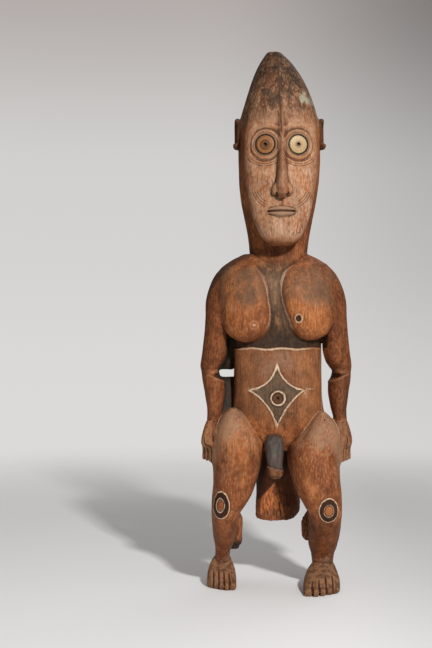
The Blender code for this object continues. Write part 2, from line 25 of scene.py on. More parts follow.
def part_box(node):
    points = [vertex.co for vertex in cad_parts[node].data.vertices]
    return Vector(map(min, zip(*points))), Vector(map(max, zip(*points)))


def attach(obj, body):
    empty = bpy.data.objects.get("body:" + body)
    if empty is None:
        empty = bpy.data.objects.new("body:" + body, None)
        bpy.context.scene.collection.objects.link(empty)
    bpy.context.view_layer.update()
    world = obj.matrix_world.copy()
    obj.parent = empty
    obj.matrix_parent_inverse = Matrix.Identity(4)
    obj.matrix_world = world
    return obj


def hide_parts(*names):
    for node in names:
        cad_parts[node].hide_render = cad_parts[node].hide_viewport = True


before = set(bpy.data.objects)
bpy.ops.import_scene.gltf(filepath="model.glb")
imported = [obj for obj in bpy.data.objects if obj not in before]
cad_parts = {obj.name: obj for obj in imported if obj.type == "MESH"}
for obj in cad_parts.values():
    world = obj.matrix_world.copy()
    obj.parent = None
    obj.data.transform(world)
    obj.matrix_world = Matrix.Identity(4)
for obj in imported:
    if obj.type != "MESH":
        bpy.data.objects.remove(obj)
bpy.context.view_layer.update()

LOG = logging.getLogger("standing_figure")
Array = np.ndarray
Body = bpy.types.Object
Material = bpy.types.Material
Mesh = bpy.types.Mesh
Socket = bpy.types.NodeSocket
Colour = tuple[float, float, float]
MM = 0.001

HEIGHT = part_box("figure")[1].z
CHIN_Z = 0.758
CROWN_Z = HEIGHT
EYE_Z = (CHIN_Z + CROWN_Z) / 2
NOSE_BASE_Z = (CHIN_Z + EYE_Z) / 2
MOUTH_Z = NOSE_BASE_Z - (NOSE_BASE_Z - CHIN_Z) / 3
FACE_X = 0.008
EYE_TURN = math.radians(13)
SOCKET_RADIUS = 0.0268
SEAT_GAP = 0.0003


class Side(Enum):
    """The figure's own sides, as the sign of x."""

    RIGHT = -1
    LEFT = 1

    @property
    def label(self) -> str:
        """The side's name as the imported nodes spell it."""
        return self.name.lower()


class Section(NamedTuple):
    """One section of an upright form: height, middle in x, half width, y of front and back."""

    z: float
    x: float
    half: float
    front: float
    back: float


class Slice(NamedTuple):
    """One section of a form that lies along y, such as a foot."""

    y: float
    x: float
    half: float
    low: float
    high: float


Sections = tuple[Section, ...]


def sections(*rows: tuple[float, ...], kind: type = Section) -> tuple:
    """Rows of numbers as a form's sections, upright ones unless the kind says otherwise."""
    return tuple(kind(*row) for row in rows)


# Arithmetic that works on arrays of points and on shader values alike


def operator(kind: str, swapped: bool = False) -> "Callable[[Field, Value], Field]":
    """One of Field's arithmetic operators.

    Args:
        kind: The Math node's operation.
        swapped: Whether the field stands to the right of a plain number.

    Returns:
        The method.
    """

    def method(self: "Field", other: "Value") -> "Field":
        """The result, as one more node."""
        return self.net.math(kind, *((other, self) if swapped else (self, other)))

    return method


class Field:
    """A number that changes over a surface: one node socket, with arithmetic."""

    __add__ = __radd__ = operator("ADD")
    __mul__ = __rmul__ = operator("MULTIPLY")
    __sub__, __rsub__ = operator("SUBTRACT"), operator("SUBTRACT", swapped=True)
    __truediv__, __rtruediv__ = operator("DIVIDE"), operator("DIVIDE", swapped=True)
    __pow__ = operator("POWER")

    def __init__(self, net: "Net", socket: Socket) -> None:
        """Keeps the socket and the net it belongs to."""
        self.net, self.socket = net, socket

    def __abs__(self) -> "Field":
        """The size without its sign."""
        return self.net.math("ABSOLUTE", self)


Value = Union[Field, Array, float]


def smooth(value: Value, low: float, high: float) -> Value:
    """A smooth step from 0 at low to 1 at high.

    Args:
        value: Shader value or array.
        low: Where the step starts; it may be above high, which turns the step round.
        high: Where the step ends.

    Returns:
        The step, of the same kind as value.
    """
    if isinstance(value, Field):
        return value.net.step(value, low, high)
    share = np.clip((value - low) / (high - low), 0, 1)
    return share * share * (3 - 2 * share)


def span(value: Value, low: float, rise: float, fall: float, high: float) -> Value:
    """1 from rise to fall, and smoothly down to 0 at low and at high."""
    return smooth(value, low, rise) * smooth(value, high, fall)


def most(a: Value, b: Value) -> Value:
    """The larger of two values."""
    return a.net.math("MAXIMUM", a, b) if isinstance(a, Field) else np.maximum(a, b)


def least(a: Value, b: Value) -> Value:
    """The smaller of two values."""
    return a.net.math("MINIMUM", a, b) if isinstance(a, Field) else np.minimum(a, b)


def band(distance: Value, width: float, soft: float = 0.5 * MM) -> Value:
    """1 within half a width of a line and 0 away from it, with a soft edge."""
    return 1 - smooth(abs(distance), width / 2 - soft, width / 2 + soft)


def away(x: Value, z: Value, at: tuple[float, float], stretch: float = 1.0) -> Value:
    """Distance from a point in the front plane, with x distances stretched."""
    dx, dz = (x - at[0]) * stretch, z - at[1]
    return (dx * dx + dz * dz) ** 0.5


def blob(x: Value, z: Value, at: tuple[float, float], reach: tuple[float, float]) -> Value:
    """A soft round patch: 1 at its middle, 0 past its reach in x and z."""
    dx, dz = (x - at[0]) / reach[0], (z - at[1]) / reach[1]
    return 1 - smooth((dx * dx + dz * dz) ** 0.5, 0.0, 1.0)


def bump_up(value: Array, width: float) -> Array:
    """A round ridge of height 1 along value = 0."""
    return np.exp(-((value / width) ** 2))


@dataclass(frozen=True)
class Star:
    """The four-pointed star painted round the navel: four hollow sides between its tips."""

    middle: tuple[float, float] = (-0.002, 0.4425)
    reaches: tuple[float, float, float, float] = (0.067, 0.063, 0.066, 0.0855)
    bulges: tuple[float, float, float, float] = (0.55, 0.58, 0.68, 0.76)
    tip: float = 0.03

    def edge(self, x: Value, z: Value) -> Value:
        """Distance from the star's outline, negative inside.

        Args:
            x: Positions across the belly.
            z: Positions up the belly.

        Returns:
            The distance in metres, good near the outline.
        """
        dx, dz = x - self.middle[0], z - self.middle[1]
        left, right, up, down = self.reaches
        to_right, upward = smooth(dx, -1e-5, 1e-5), smooth(dz, -1e-5, 1e-5)
        across = to_right * (right - left) + left
        along = upward * (up - down) + down
        up_left, up_right, down_left, down_right = self.bulges
        above = to_right * (up_right - up_left) + up_left
        below = to_right * (down_right - down_left) + down_left
        power = upward * (above - below) + below
        u, v = most(abs(dx) / across, self.tip), most(abs(dz) / along, self.tip)
        size = (u**power + v**power) ** (1 / power)
        steep = ((u ** (power - 1) / across) ** 2 + (v ** (power - 1) / along) ** 2) ** 0.5
        return (size - 1) / (steep * size ** (1 - power))


@dataclass(frozen=True)
class KneeRing:
    """The rings painted round a knee, taller than they are wide."""

    side: Side
    centre: tuple[float, float, float]
    narrow: float
    radius: float

    def reach(self, x: Value, y: Value, z: Value) -> Value:
        """Distance from the ring's middle, with level distances stretched.

        Args:
            x: Positions across.
            y: Positions back.
            z: Positions up.

        Returns:
            The distance, of the same kind as the positions.
        """
        dx, dy = (x - self.centre[0]) * self.narrow, (y - self.centre[1]) * self.narrow
        dz = z - self.centre[2]
        return (dx * dx + dy * dy + dz * dz) ** 0.5


STAR = Star()
NAVEL = (0.0005, 0.4245)
NAVEL_RING = 15.2 * MM
NIPPLES = {Side.RIGHT: (-0.0525, 0.584), Side.LEFT: (0.0445, 0.599)}
KNEES = (
    KneeRing(Side.RIGHT, (-0.126, -0.103, 0.1955), 1.42, 31.0 * MM),
    KneeRing(Side.LEFT, (0.108, -0.109, 0.184), 1.28, 28.5 * MM),
)
CHEST_LINE_Z = 0.533


# Lofts


class Solid:
    """A closed surface as arrays, before it is fused with the others."""

    def __init__(self, name: str, points: Array, faces: list[tuple[int, ...]]) -> None:
        """Keeps the points and faces, with the faces turned outwards."""
        self.name, self.points, self.faces = name, points, faces
        self.faces = [face[::-1] for face in faces] if self.volume() < 0 else faces

    def volume(self) -> float:
        """Enclosed volume, negative if the faces point inwards."""
        corners = (self.points[list(face)] for face in self.faces)
        return sum(float((np.cross(at[1:-1], at[2:]) @ at[0]).sum()) for at in corners) / 6

    def surface(self) -> BVHTree:
        """A search tree over the faces."""
        return BVHTree.FromPolygons(self.points.tolist(), self.faces)


def steady_curve(at: Array, keys: Array, values: Array) -> Array:
    """Values read from a smooth curve through the keys that never overshoots them.

    Args:
        at: Where the curve is read.
        keys: Where the values are given, rising.
        values: The values at the keys.

    Returns:
        One value for each place in at.
    """
    step = np.diff(keys)
    slope = np.diff(values) / step
    tangent = np.empty(len(keys))
    tangent[0], tangent[-1] = slope[0], slope[-1]
    for i in range(1, len(keys) - 1):
        before, after = slope[i - 1], slope[i]
        turns = before * after <= 0
        tangent[i] = 0 if turns else 2 * before * after / (before + after)
    span = np.clip(np.searchsorted(keys, at) - 1, 0, len(step) - 1)
    t = (at - keys[span]) / step[span]
    low, high = values[span], values[span + 1]
    rise_low, rise_high = tangent[span] * step[span], tangent[span + 1] * step[span]
    return (
        (1 + 2 * t) * (1 - t) ** 2 * low
        + t * (1 - t) ** 2 * rise_low
        + t * t * (3 - 2 * t) * high
        + t * t * (t - 1) * rise_high
    )


def between(keys: Iterable[tuple[float, ...]], spacing: float) -> Array:
    """The keyed sections resampled, closer together near both ends.

    Args:
        keys: Sections, each starting with its place along the form.
        spacing: Mean distance between the new sections.

    Returns:
        One row for each new section, with the same fields.
    """
    table = np.array(sorted(keys), float)
    length = table[-1, 0] - table[0, 0]
    share = np.linspace(0, 1, max(6, round(length / spacing)))
    eased = 0.5 - 0.5 * np.cos(math.pi * share)
    at = table[0, 0] + length * (0.55 * share + 0.45 * eased)
    fields = [steady_curve(at, table[:, 0], column) for column in table.T[1:]]
    return np.column_stack([at, *fields])


def oval(sides: int, squareness: float) -> Array:
    """Points of a unit oval, from a circle at 2 towards a rounded square above it.

    Args:
        sides: How many points.
        squareness: Its power.

    Returns:
        Rows of two numbers.
    """
    turn = 2 * math.pi * np.arange(sides) / sides
    c, s = np.cos(turn), np.sin(turn)
    power = 2 / squareness
    return np.column_stack([np.sign(c) * np.abs(c) ** power, np.sign(s) * np.abs(s) ** power])


def strips(count: int, sides: int, closed: bool = False) -> list[tuple[int, ...]]:
    """Four-sided faces between neighbouring rings of points.

    Args:
        count: How many rings.
        sides: How many points in each.
        closed: Whether the last ring joins the first.

    Returns:
        The faces.
    """
    faces = []
    for ring in range(count if closed else count - 1):
        a, b = ring * sides, (ring + 1) % count * sides
        for i in range(sides):
            j = (i + 1) % sides
            faces.append((a + i, a + j, b + j, b + i))
    return faces


def skin(name: str, rings: Array) -> Solid:
    """A closed solid over rings of points, capped at both ends.

    Args:
        name: The solid's name.
        rings: Array of rings by points by xyz.

    Returns:
        The solid.
    """
    count, sides = rings.shape[:2]
    faces = strips(count, sides)
    faces.append(tuple(range(sides))[::-1])
    faces.append(tuple(range((count - 1) * sides, count * sides)))
    return Solid(name, rings.reshape(-1, 3), faces)


def upright(
    name: str,
    keys: Iterable[Section],
    squareness: float = 2.2,
    side: int = 1,
    turn: float = 0.0,
    spacing: float = 3.0 * MM,
) -> Solid:
    """A loft up the log.

    Args:
        name: The solid's name.
        keys: Its sections.
        squareness: From an oval at 2 towards a rounded square.
        side: -1 mirrors it to the figure's right.
        turn: How far it falls back for each metre along x.
        spacing: Distance between sections, and about that between points round them.

    Returns:
        The closed solid.
    """
    rows = between(keys, spacing)
    widest = 2 * math.pi * rows[:, 2].max()
    outline = oval(int(np.clip(round(widest / spacing), 16, 160)), squareness)
    rings = np.empty((len(rows), len(outline), 3))
    for ring, (z, x, half, front, back) in zip(rings, rows):
        middle, reach = (front + back) / 2, (back - front) / 2
        across = half * outline[:, 0]
        ring[:, 0] = side * (x + across)
        ring[:, 1] = middle + reach * outline[:, 1] + turn * across
        ring[:, 2] = z
    return skin(name, rings)


def lying(name: str, keys: Iterable[Slice], squareness: float = 2.6) -> Solid:
    """A loft along y, such as a foot.

    Args:
        name: The solid's name.
        keys: Its slices.
        squareness: As for an upright form.

    Returns:
        The closed solid.
    """
    rows = between(keys, 2.5 * MM)
    outline = oval(72, squareness)
    rings = np.empty((len(rows), len(outline), 3))
    for ring, (y, x, half, low, high) in zip(rings, rows):
        ring[:, 0] = x + half * outline[:, 0]
        ring[:, 1] = y
        ring[:, 2] = (low + high) / 2 + (high - low) / 2 * outline[:, 1]
    return skin(name, rings)


def digit(name: str, path: Sequence[Vector], radii: Sequence[float]) -> Solid:
    """A finger, toe or ear rim: round rings square to a path that never runs along x.

    Args:
        name: The solid's name.
        path: Middles of the rings.
        radii: Their radii.

    Returns:
        The closed solid.
    """
    outline = oval(20, 2)
    rings = np.empty((len(path), len(outline), 3))
    for i, (point, radius) in enumerate(zip(path, radii)):
        ahead = (path[min(i + 1, len(path) - 1)] - path[max(i - 1, 0)]).normalized()
        down = ahead.cross(Vector((1, 0, 0))).normalized()
        frame_axes = np.array([down.cross(ahead), down])
        rings[i] = np.array(point) + radius * outline @ frame_axes
    return skin(name, rings)


def capsule(name: str, start: Vector, end: Vector, radius: float, waist: float = 0.0) -> Solid:
    """A round-ended digit from start to end, narrower in its middle by waist.

    Args:
        name: The solid's name.
        start: Its root.
        end: Its tip.
        radius: Where it is thickest.
        waist: The share it loses in its middle.

    Returns:
        The closed solid.
    """
    shares = (0.0, 0.03, 0.08, 0.16, 0.3, 0.45, 0.6, 0.75, 0.86, 0.93, 0.98, 1.0)
    widths = (0.35, 0.66, 0.86, 0.97, 1.0, 0.99, 0.97, 0.98, 0.99, 0.9, 0.68, 0.4)
    path = [start.lerp(end, share) for share in shares]
    radii = [
        radius * width * (1 - waist * math.sin(math.pi * share))
        for share, width in zip(shares, widths)
    ]
    return digit(name, path, radii)


class Noise:
    """Smooth random relief in space, the same on every run."""

    def __init__(self, seed: int) -> None:
        """Draws the lattice of random values."""
        self.values = np.random.default_rng(seed).uniform(-1, 1, (32, 32, 32))

    def __call__(self, points: Array, size: tuple[float, float, float]) -> Array:
        """Values from -1 to 1 at the points.

        Args:
            points: Rows of xyz.
            size: Distance between the lattice's values along x, y and z.

        Returns:
            One value for each point.
        """
        place = points / np.array(size) + 57.3
        whole = np.floor(place).astype(int)
        part = place - whole
        part = part * part * (3 - 2 * part)
        total = np.zeros(len(points))
        for corner in np.ndindex(2, 2, 2):
            at = (whole + corner) % 32
            weight = np.prod(np.where(np.array(corner) == 1, part, 1 - part), axis=1)
            total += weight * self.values[at[:, 0], at[:, 1], at[:, 2]]
        return total


# The carving's parts


@dataclass
class Head:
    """The tall pointed head with its mask-like face, nose, lips and ears."""

    skull: Sections = sections(
        (0.69, 0.006, 0.06, -0.046, 0.058), (0.738, 0.006, 0.064, -0.047, 0.066),
        (0.776, 0.006, 0.068, -0.05, 0.072), (0.821, 0.006, 0.076, -0.06, 0.078),
        (0.866, 0.006, 0.085, -0.07, 0.084), (0.911, 0.007, 0.09, -0.077, 0.088),
        (0.98, 0.0075, 0.092, -0.08, 0.09), (1.046, 0.007, 0.087, -0.076, 0.087),
        (1.091, 0.0065, 0.0745, -0.067, 0.078), (1.136, 0.004, 0.0575, -0.052, 0.064),
        (1.16, 0.001, 0.045, -0.04, 0.053), (1.182, -0.002, 0.03, -0.026, 0.038),
        (CROWN_Z, -0.005, 0.016, -0.013, 0.024),
    )
    face: Sections = sections(
        (CHIN_Z, FACE_X, 0.018, -0.088, -0.052), (CHIN_Z + 0.009, FACE_X, 0.034, -0.095, -0.04),
        (CHIN_Z + 0.035, FACE_X, 0.052, -0.098, -0.03), (0.838, FACE_X, 0.067, -0.096, -0.02),
        (0.888, FACE_X, 0.077, -0.094, -0.01), (0.938, FACE_X, 0.083, -0.092, 0.0),
        (EYE_Z, FACE_X, 0.084, -0.09, 0.0), (1.04, FACE_X, 0.077, -0.082, 0.0),
        (1.1, 0.006, 0.058, -0.067, 0.0), (1.15, 0.002, 0.036, -0.047, 0.0),
    )
    nose: Sections = sections(
        (NOSE_BASE_Z - 0.007, FACE_X, 0.007, -0.11, -0.085),
        (NOSE_BASE_Z + 0.003, FACE_X, 0.014, -0.1205, -0.08),
        (NOSE_BASE_Z + 0.022, FACE_X, 0.0135, -0.119, -0.078),
        (NOSE_BASE_Z + 0.05, FACE_X, 0.0105, -0.113, -0.078),
        (EYE_Z - 0.01, FACE_X, 0.009, -0.103, -0.07),
        (EYE_Z + 0.03, FACE_X, 0.0085, -0.094, -0.065),
        (EYE_Z + 0.085, FACE_X - 0.002, 0.006, -0.08, -0.055),
    )
    nose_wing: Sections = sections(
        (NOSE_BASE_Z - 0.001, 0.015, 0.0045, -0.106, -0.088),
        (NOSE_BASE_Z + 0.006, 0.0155, 0.008, -0.111, -0.084),
        (NOSE_BASE_Z + 0.015, 0.0135, 0.008, -0.11, -0.082),
        (NOSE_BASE_Z + 0.026, 0.0095, 0.005, -0.104, -0.082),
    )
    ear_plate: Sections = sections(
        (0.981, 0.088, 0.006, -0.012, 0.006), (0.992, 0.09, 0.0075, -0.016, 0.012),
        (1.013, 0.09, 0.008, -0.018, 0.014), (1.034, 0.088, 0.008, -0.016, 0.012),
        (1.045, 0.086, 0.006, -0.01, 0.006),
    )
    middle_x: float = 0.0075
    lip_half_width: float = 0.031
    lip_front: float = -0.1045
    ear_centre: tuple[float, float, float] = (0.094, -0.004, 1.013)
    ear_radii: tuple[float, float] = (0.017, 0.029)
    ear_tube: float = 0.0068
    ear_curl: float = math.radians(125)
    lobe_flare: float = 0.006

    def solids(self) -> list[Solid]:
        """Every swelling of the head.

        Returns:
            The closed solids, to be fused later.
        """
        made = [
            upright("head", self.skull, 2.15),
            upright("face", self.face, 2.3),
            upright("nose", self.nose, 2.0, spacing=2 * MM),
            self.lip("upper lip", 0.0052, 0.0056),
            self.lip("lower lip", -0.0056, 0.0064),
        ]
        for side in (-1, 1):
            wing = [key._replace(x=key.x + side * FACE_X) for key in self.nose_wing]
            plate = [key._replace(x=key.x + side * self.middle_x) for key in self.ear_plate]
            made += [
                upright(f"nose wing {side}", wing, 2.0, side, spacing=1.5 * MM),
                upright(f"ear plate {side}", plate, 2.2, side, spacing=2 * MM),
                self.ear_rim(side),
            ]
        return made

    def lip(self, name: str, rise: float, thickness: float) -> Solid:
        """A closed lip: a flat spindle across the face, lying back towards its corners.

        Args:
            name: The solid's name.
            rise: Its height over the parting of the lips.
            thickness: Half its height.

        Returns:
            The closed solid.
        """
        outline = oval(24, 2)
        rings = []
        for share in np.sin(np.linspace(-math.pi / 2, math.pi / 2, 40)):
            depth = 0.012 * (1 - 0.85 * abs(share) ** 3)
            y = self.lip_front + depth + 0.005 * share * share
            reach = thickness * (1.05 - share * share)
            z = MOUTH_Z + rise * (1 - 0.5 * share * share)
            x = np.full(len(outline), FACE_X + self.lip_half_width * share)
            rings.append(
                np.column_stack([x, y + depth * outline[:, 0], z + reach * outline[:, 1]])
            )
        return skin(name, np.array(rings))

    def ear_rim(self, side: int) -> Solid:
        """A rim that curls round from the top of the ear to the lobe, open to the front.

        Args:
            side: -1 for the right ear, 1 for the left.

        Returns:
            The closed solid.
        """
        steps = 32
        path, radii = [], []
        for i in range(steps + 1):
            share = i / steps
            turn = self.ear_curl * (2 * share - 1)
            lobe = max(0.0, (share - 0.75) / 0.25)
            x = self.middle_x + side * (self.ear_centre[0] + self.lobe_flare * lobe)
            y = self.ear_centre[1] + self.ear_radii[0] * math.cos(turn)
            z = self.ear_centre[2] - self.ear_radii[1] * math.sin(turn)
            path.append(Vector((x, y, z)))
            radii.append(self.ear_tube * (1 - 0.4 * abs(2 * share - 1) ** 6))
        return digit(f"ear rim {side}", path, radii)

    def relief(self, points: Array) -> Array:
        """Height added along the surface for the brows, rims, lips and incised lines.

        Args:
            points: Rows of xyz on the fused skin.

        Returns:
            Height for each point, in metres.
        """
        x, y, z = points.T
        across = x - FACE_X
        front = smooth(y, -0.045, -0.06)
        total = np.zeros(len(points))
        for side in Side:
            eye = eye_place(side).inverted()
            local = points @ np.array(eye.to_3x3()).T + np.array(eye.translation)
            reach = np.hypot(local[:, 0], local[:, 1])
            total += front * 1.6 * MM * bump_up(reach - 0.03, 2.4 * MM)
            total -= front * 1.8 * MM * bump_up(reach - 0.0355, 3.5 * MM)
        brow = z - (EYE_Z + 0.0405 - 7.0 * (np.abs(across) - 0.034) ** 2)
        total += front * 2.2 * MM * bump_up(brow, 4.5 * MM) * smooth(np.abs(across), 0.078, 0.066)
        keel = np.exp(-np.abs(x - ridge_x(z)) / (7 * MM))
        keel *= span(z, EYE_Z + 0.03, EYE_Z + 0.08, 1.17, 1.192)
        total += 2.2 * MM * smooth(y, 0.03, -0.01) * keel
        parting = z - (MOUTH_Z + 0.0004 - 1.2 * across * across)
        lips = front * smooth(np.abs(across), 0.034, 0.029)
        total -= 1.8 * MM * bump_up(parting, 2.0 * MM) * lips
        groove = smooth(z, NOSE_BASE_Z - 0.008, NOSE_BASE_Z - 0.014)
        groove *= smooth(z, MOUTH_Z + 0.009, MOUTH_Z + 0.013)
        total -= 1.0 * MM * bump_up(across, 2.6 * MM) * groove * front
        total += 1.8 * MM * blob(x, z, (FACE_X, CHIN_Z + 0.022), (0.024, 0.017)) * front
        total -= 0.7 * MM * band(cheek_arcs(x, z), 1.5 * MM, 0.8 * MM) * front
        return total


def cheek_arcs(x: Value, z: Value) -> Value:
    """Nearness to the arcs incised on the cheeks, the same on both sides.

    Args:
        x: Positions across the face.
        z: Positions up it.

    Returns:
        Distance from the nearest incised line.
    """
    across = abs(x - FACE_X)
    eye = away(across, z, (0.037, EYE_Z))
    above = smooth(z - EYE_Z + across * 0.25, -0.012, -0.004) * 0.02
    lines = least(abs(eye - 0.0375), least(abs(eye - 0.0425), abs(eye - 0.0475))) + above
    cheek = away(across, z, (0.012, NOSE_BASE_Z + 0.022))
    sweep = least(abs(cheek - 0.044), least(abs(cheek - 0.049), abs(cheek - 0.054)))
    high = smooth(z - NOSE_BASE_Z, 0.006, 0.014) * 0.02
    middle = smooth(across, 0.036, 0.03) * 0.02
    return least(lines, sweep + high + middle)


def ridge_x(z: Value) -> Value:
    """Where the line over the crown of the head runs, in x."""
    return (z - EYE_Z) * -0.03 + FACE_X


def eye_place(side: Side) -> Matrix:
    """An eye's placement: z runs out of the face, from the floor of its socket.

    Args:
        side: Which eye.

    Returns:
        The matrix from the eye's own space to the figure's.
    """
    low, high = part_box(f"{side.label}_eye_shell")
    turn = Matrix.Rotation(side.value * EYE_TURN, 4, "Z") @ Matrix.Rotation(math.pi / 2, 4, "X")
    middle = (SEAT_GAP + EyeInlay.thickness + EyeInlay.dome) / 2
    return Matrix.Translation((low + high) / 2) @ turn @ Matrix.Translation((0, 0, -middle))


@dataclass
class Trunk:
    """Chest, belly, buttocks and the loins."""

    torso: Sections = sections(
        (0.306, 0.0, 0.06, -0.04, 0.062), (0.33, 0.0, 0.096, -0.056, 0.084),
        (0.368, 0.002, 0.112, -0.066, 0.088), (0.4, 0.003, 0.103, -0.073, 0.072),
        (0.43, 0.003, 0.099, -0.075, 0.06), (0.48, 0.003, 0.098, -0.073, 0.055),
        (0.535, 0.003, 0.098, -0.068, 0.061), (0.57, 0.002, 0.106, -0.069, 0.069),
        (0.61, 0.001, 0.13, -0.071, 0.077), (0.65, 0.0, 0.147, -0.069, 0.079),
        (0.686, 0.0, 0.142, -0.061, 0.073), (0.709, 0.0, 0.127, -0.051, 0.065),
        (0.731, 0.0, 0.099, -0.037, 0.051), (0.744, 0.0, 0.072, -0.026, 0.04),
    )
    breast_turn: float = 0.26
    right_breast: Sections = sections(
        (0.548, -0.066, 0.01, -0.064, -0.02), (0.553, -0.067, 0.025, -0.073, -0.016),
        (0.563, -0.0685, 0.039, -0.081, -0.013), (0.585, -0.0705, 0.051, -0.087, -0.012),
        (0.612, -0.072, 0.055, -0.088, -0.012), (0.652, -0.076, 0.055, -0.083, -0.008),
        (0.688, -0.0785, 0.0495, -0.07, -0.004), (0.716, -0.0805, 0.034, -0.052, 0.0),
    )
    left_breast: Sections = sections(
        (0.5525, 0.072, 0.01, -0.064, -0.02), (0.557, 0.0735, 0.025, -0.073, -0.016),
        (0.568, 0.0755, 0.039, -0.081, -0.013), (0.592, 0.077, 0.0505, -0.087, -0.012),
        (0.622, 0.072, 0.057, -0.088, -0.012), (0.662, 0.068, 0.0615, -0.082, -0.008),
        (0.698, 0.0705, 0.056, -0.067, -0.004), (0.724, 0.0765, 0.0355, -0.048, 0.0),
    )
    buttock: Sections = sections(
        (0.286, 0.048, 0.024, 0.016, 0.068), (0.306, 0.05, 0.044, 0.006, 0.088),
        (0.342, 0.05, 0.053, 0.0, 0.097), (0.382, 0.049, 0.05, 0.0, 0.09),
        (0.424, 0.046, 0.032, 0.0, 0.062),
    )
    member: Sections = sections(
        (0.343, -0.0075, 0.012, -0.084, -0.045), (0.335, -0.0078, 0.018, -0.096, -0.048),
        (0.322, -0.008, 0.0205, -0.104, -0.054), (0.3, -0.0078, 0.019, -0.109, -0.066),
        (0.283, -0.0075, 0.0165, -0.111, -0.072), (0.274, -0.007, 0.0172, -0.113, -0.072),
        (0.262, -0.006, 0.0165, -0.112, -0.074), (0.252, -0.005, 0.008, -0.104, -0.082),
    )

    def solids(self) -> list[Solid]:
        """Every swelling of the trunk.

        Returns:
            The closed solids, to be fused later.
        """
        return [
            upright("torso", self.torso, 2.35),
            upright("breast right", self.right_breast, 2.2, turn=-self.breast_turn),
            upright("breast left", self.left_breast, 2.2, turn=self.breast_turn),
            upright("member", self.member, 2.2, spacing=2 * MM),
            *(upright(f"buttock {side}", self.buttock, 2.1, side) for side in (-1, 1)),
        ]

    def relief(self, points: Array, chest: Array) -> Array:
        """Height added for the sunk chest field, star, navel and nipples.

        Args:
            points: Rows of xyz on the fused skin.
            chest: Signed distance that is positive between and below the breasts.

        Returns:
            Height for each point.
        """
        x, y, z = points.T
        front = smooth(y, -0.03, -0.045)
        total = -1.6 * MM * chest_field(x, z, chest) * smooth(y, -0.002, -0.02)
        inner = span(x, -0.055, -0.02, 0.03, 0.065)
        rim = bump_up(chest + 1.9 * MM, 2.2 * MM) * inner
        total += 0.9 * MM * rim * smooth(z, 0.56, 0.59) * smooth(z, 0.735, 0.7) * front
        lip = bump_up(z - chest_line(x) + 0.003, 2.2 * MM) * smooth(np.abs(x), 0.1, 0.085)
        total += 0.8 * MM * lip * smooth(y, -0.002, -0.02)
        total += 0.7 * MM * band(STAR.edge(x, z), 3.4 * MM, 0.9 * MM) * front
        loins = smooth(y, -0.06, -0.068) * smooth(np.abs(x + 0.007), 0.028, 0.024)
        collar = z - 0.2745 + 0.25 * (x + 0.007)
        under = 1.2 * MM * bump_up(collar - 3.4 * MM, 1.8 * MM)
        total += loins * (1.1 * MM * bump_up(collar, 1.8 * MM) - under)
        navel = away(x, z, NAVEL)
        total += 1.3 * MM * band(navel - NAVEL_RING, 4.4 * MM, 1.2 * MM) * front
        total -= 1.2 * MM * (1 - smooth(navel, 0.01, 0.0135)) * front
        total -= 6.0 * MM * (1 - smooth(navel, 0.0012, 0.0032)) * front
        faint = away(x, z, NIPPLES[Side.RIGHT])
        areola = 0.5 * MM * bump_up(faint - 9 * MM, 2 * MM)
        total += (1.5 * MM * bump_up(faint, 2.8 * MM) + areola) * front
        nipple = away(x, z, NIPPLES[Side.LEFT], 1.15)
        total += 1.2 * MM * bump_up(nipple - 8.6 * MM, 1.9 * MM) * front
        total -= 1.0 * MM * (1 - smooth(nipple, 0.003, 0.0075)) * front
        return total


def chest_line(x: Value) -> Value:
    """Height of the wavy edge where the dark field under the breasts ends.

    Args:
        x: Positions across the chest.

    Returns:
        The height in metres.
    """
    turn = x * 95.0 + 0.6
    wave = x.net.math("SINE", turn) if isinstance(x, Field) else np.sin(turn)
    return wave * 1.3 * MM + (CHEST_LINE_Z + 0.001)


def chest_field(x: Value, z: Value, chest: Value) -> Value:
    """1 in the sunk dark field between and below the breasts.

    Args:
        x: Positions across the chest.
        z: Positions up it.
        chest: Signed distance that is positive off the breasts.

    Returns:
        The mask.
    """
    above = smooth(z - chest_line(x), -0.6 * MM, 0.8 * MM)
    crest = smooth(z, 0.66, 0.705) * smooth(abs(x), 0.036, 0.062)
    inside = smooth(abs(x), 0.115, 0.108) * (1 - crest)
    return smooth(chest, 0.2 * MM, 1.2 * MM) * above * inside * smooth(z, 0.742, 0.7)


